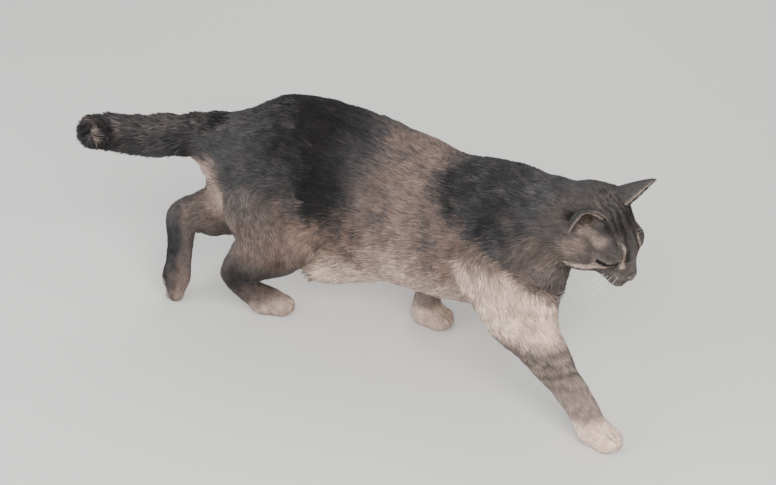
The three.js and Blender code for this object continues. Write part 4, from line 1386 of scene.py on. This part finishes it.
def whisker_lines():
    """Three rows from each side of the muzzle, and a few above each eye."""
    lines, radii = [], []
    steps = np.linspace(0, 1, 9)[:, None]
    for side in (-1, 1):
        for row in range(3):
            for place in range(4):
                start = vec(57 - 3.6 * place, (11 + 2.2 * place) * side, -20.0 - 3.0 * row)
                root = settle(start[None], head_masses, 3, sink=0.6)[0]
                size = 40 + 6.0 * place + rng.uniform(-5, 6)
                out = vec(0.22 - 0.12 * place, 1.0 * side, 0.02 - 0.22 * row + rng.uniform(-0.07, 0.07))
                out = unit(out)
                bend = vec(-0.10, -0.05 * side, -0.20)
                lines.append(HEAD.place(root + (out * steps + bend * steps**2) * size))
                radii.append((0.17, 0.05))
        for n in range(2):
            root = settle(vec(38 - 3 * n, (13 + 3 * n) * side, 18)[None], head_masses, 3, sink=0.6)[0]
            out = unit(vec(0.55, 0.45 * side, 0.75))
            size = rng.uniform(20, 27)
            lines.append(HEAD.place(root + (out * steps + vec(-0.45, 0.15 * side, -0.1) * steps**2) * size))
            radii.append((0.07, 0.03))
    return lines, radii


whiskers = make_mesh("whiskers", *rods(*whisker_lines()))
finish_piece(whiskers, two_tone("whisker", (0.86, 0.85, 0.82), (0.70, 0.68, 0.64), 0.35, 160))

claw_lines = []
steps = np.linspace(0, 1, 6)[:, None]
for paw, (place, _width, _length) in PAWS.items():
    for centre, size in toes(paw):
        start, out, bend = centre + [size[0] * 0.62, 0, 2.4], vec(6.2, 0, 0.6), vec(-1.0, 0, -3.6)
        if place.axes[0, 2] < TIPTOE:
            start, out, bend = centre + [size[0] * 0.1, 0, size[2] * 0.6], vec(2.5, 0, 4.6), vec(1.6, 0, -1.8)
        claw_lines.append(place.place(start + out * steps + bend * steps**2))
claw_points, claw_faces = rods(claw_lines, [(1.05, 0.15)] * len(claw_lines), 7)
claw_points[:, 2] = np.maximum(claw_points[:, 2], 0.2)
claws = make_mesh("claws", claw_points, claw_faces)
finish_piece(claws, two_tone("claw", (0.55, 0.47, 0.40), (0.36, 0.28, 0.23), 0.3, 160))

# ---- Stage: floor, light and camera ----

floor_mesh = bpy.data.meshes.new("floor")
H = 6.0     # half the floor's side, in metres
floor_mesh.from_pydata([(-H, -H, 0), (H, -H, 0), (H, H, 0), (-H, H, 0)], [], [(0, 1, 2, 3)])
floor = bpy.data.objects.new("floor", floor_mesh)
bpy.context.scene.collection.objects.link(floor)
floor_mesh.materials.append(Surface("floor", Base_Color=(0.70, 0.70, 0.68), Roughness=0.9).material)
floor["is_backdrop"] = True

AIM = vec(0, 0, 120)
AZIMUTH, ELEVATION, DISTANCE = math.radians(18), math.radians(31), 2000.0
LENS = 81.6
level = math.cos(ELEVATION)
back = vec(math.sin(AZIMUTH) * level, -math.cos(AZIMUTH) * level, math.sin(ELEVATION))


def aimed(thing, place, target):
    thing.location = Vector(to_metres(place))
    thing.rotation_euler = (Vector(to_metres(target)) - thing.location).to_track_quat("-Z", "Y").to_euler()
    bpy.context.scene.collection.objects.link(thing)


camera_data = bpy.data.cameras.new("camera")
camera_data.lens = LENS
camera_data.sensor_width = 36
camera_data.clip_end = 50
camera = bpy.data.objects.new("camera", camera_data)
aimed(camera, AIM + back * DISTANCE, AIM)
bpy.context.scene.camera = camera

LIGHTS = (
    ("key", (900, -1500, 1300), 62, 1.5, (1.0, 0.98, 0.95)),
    ("fill", (-1300, -1000, 700), 26, 1.6, (0.97, 0.98, 1.0)),
    ("rim", (-300, 1500, 1500), 18, 1.4, (1.0, 0.98, 0.95)),
)
for name, place, power, size, colour in LIGHTS:
    lamp = bpy.data.lights.new(name, "AREA")
    lamp.energy = power
    lamp.size = size
    lamp.color = colour
    aimed(bpy.data.objects.new(name, lamp), place, AIM)

world = bpy.data.worlds.new("studio")
world.use_nodes = True
world.node_tree.nodes["Background"].inputs["Color"].default_value = (0.97, 0.98, 1.0, 1)
world.node_tree.nodes["Background"].inputs["Strength"].default_value = 0.6
bpy.context.scene.world = world

boxes = {"cad": cad_box, "visual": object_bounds()}
{key: [list(corner) for corner in box] for key, box in boxes.items()}
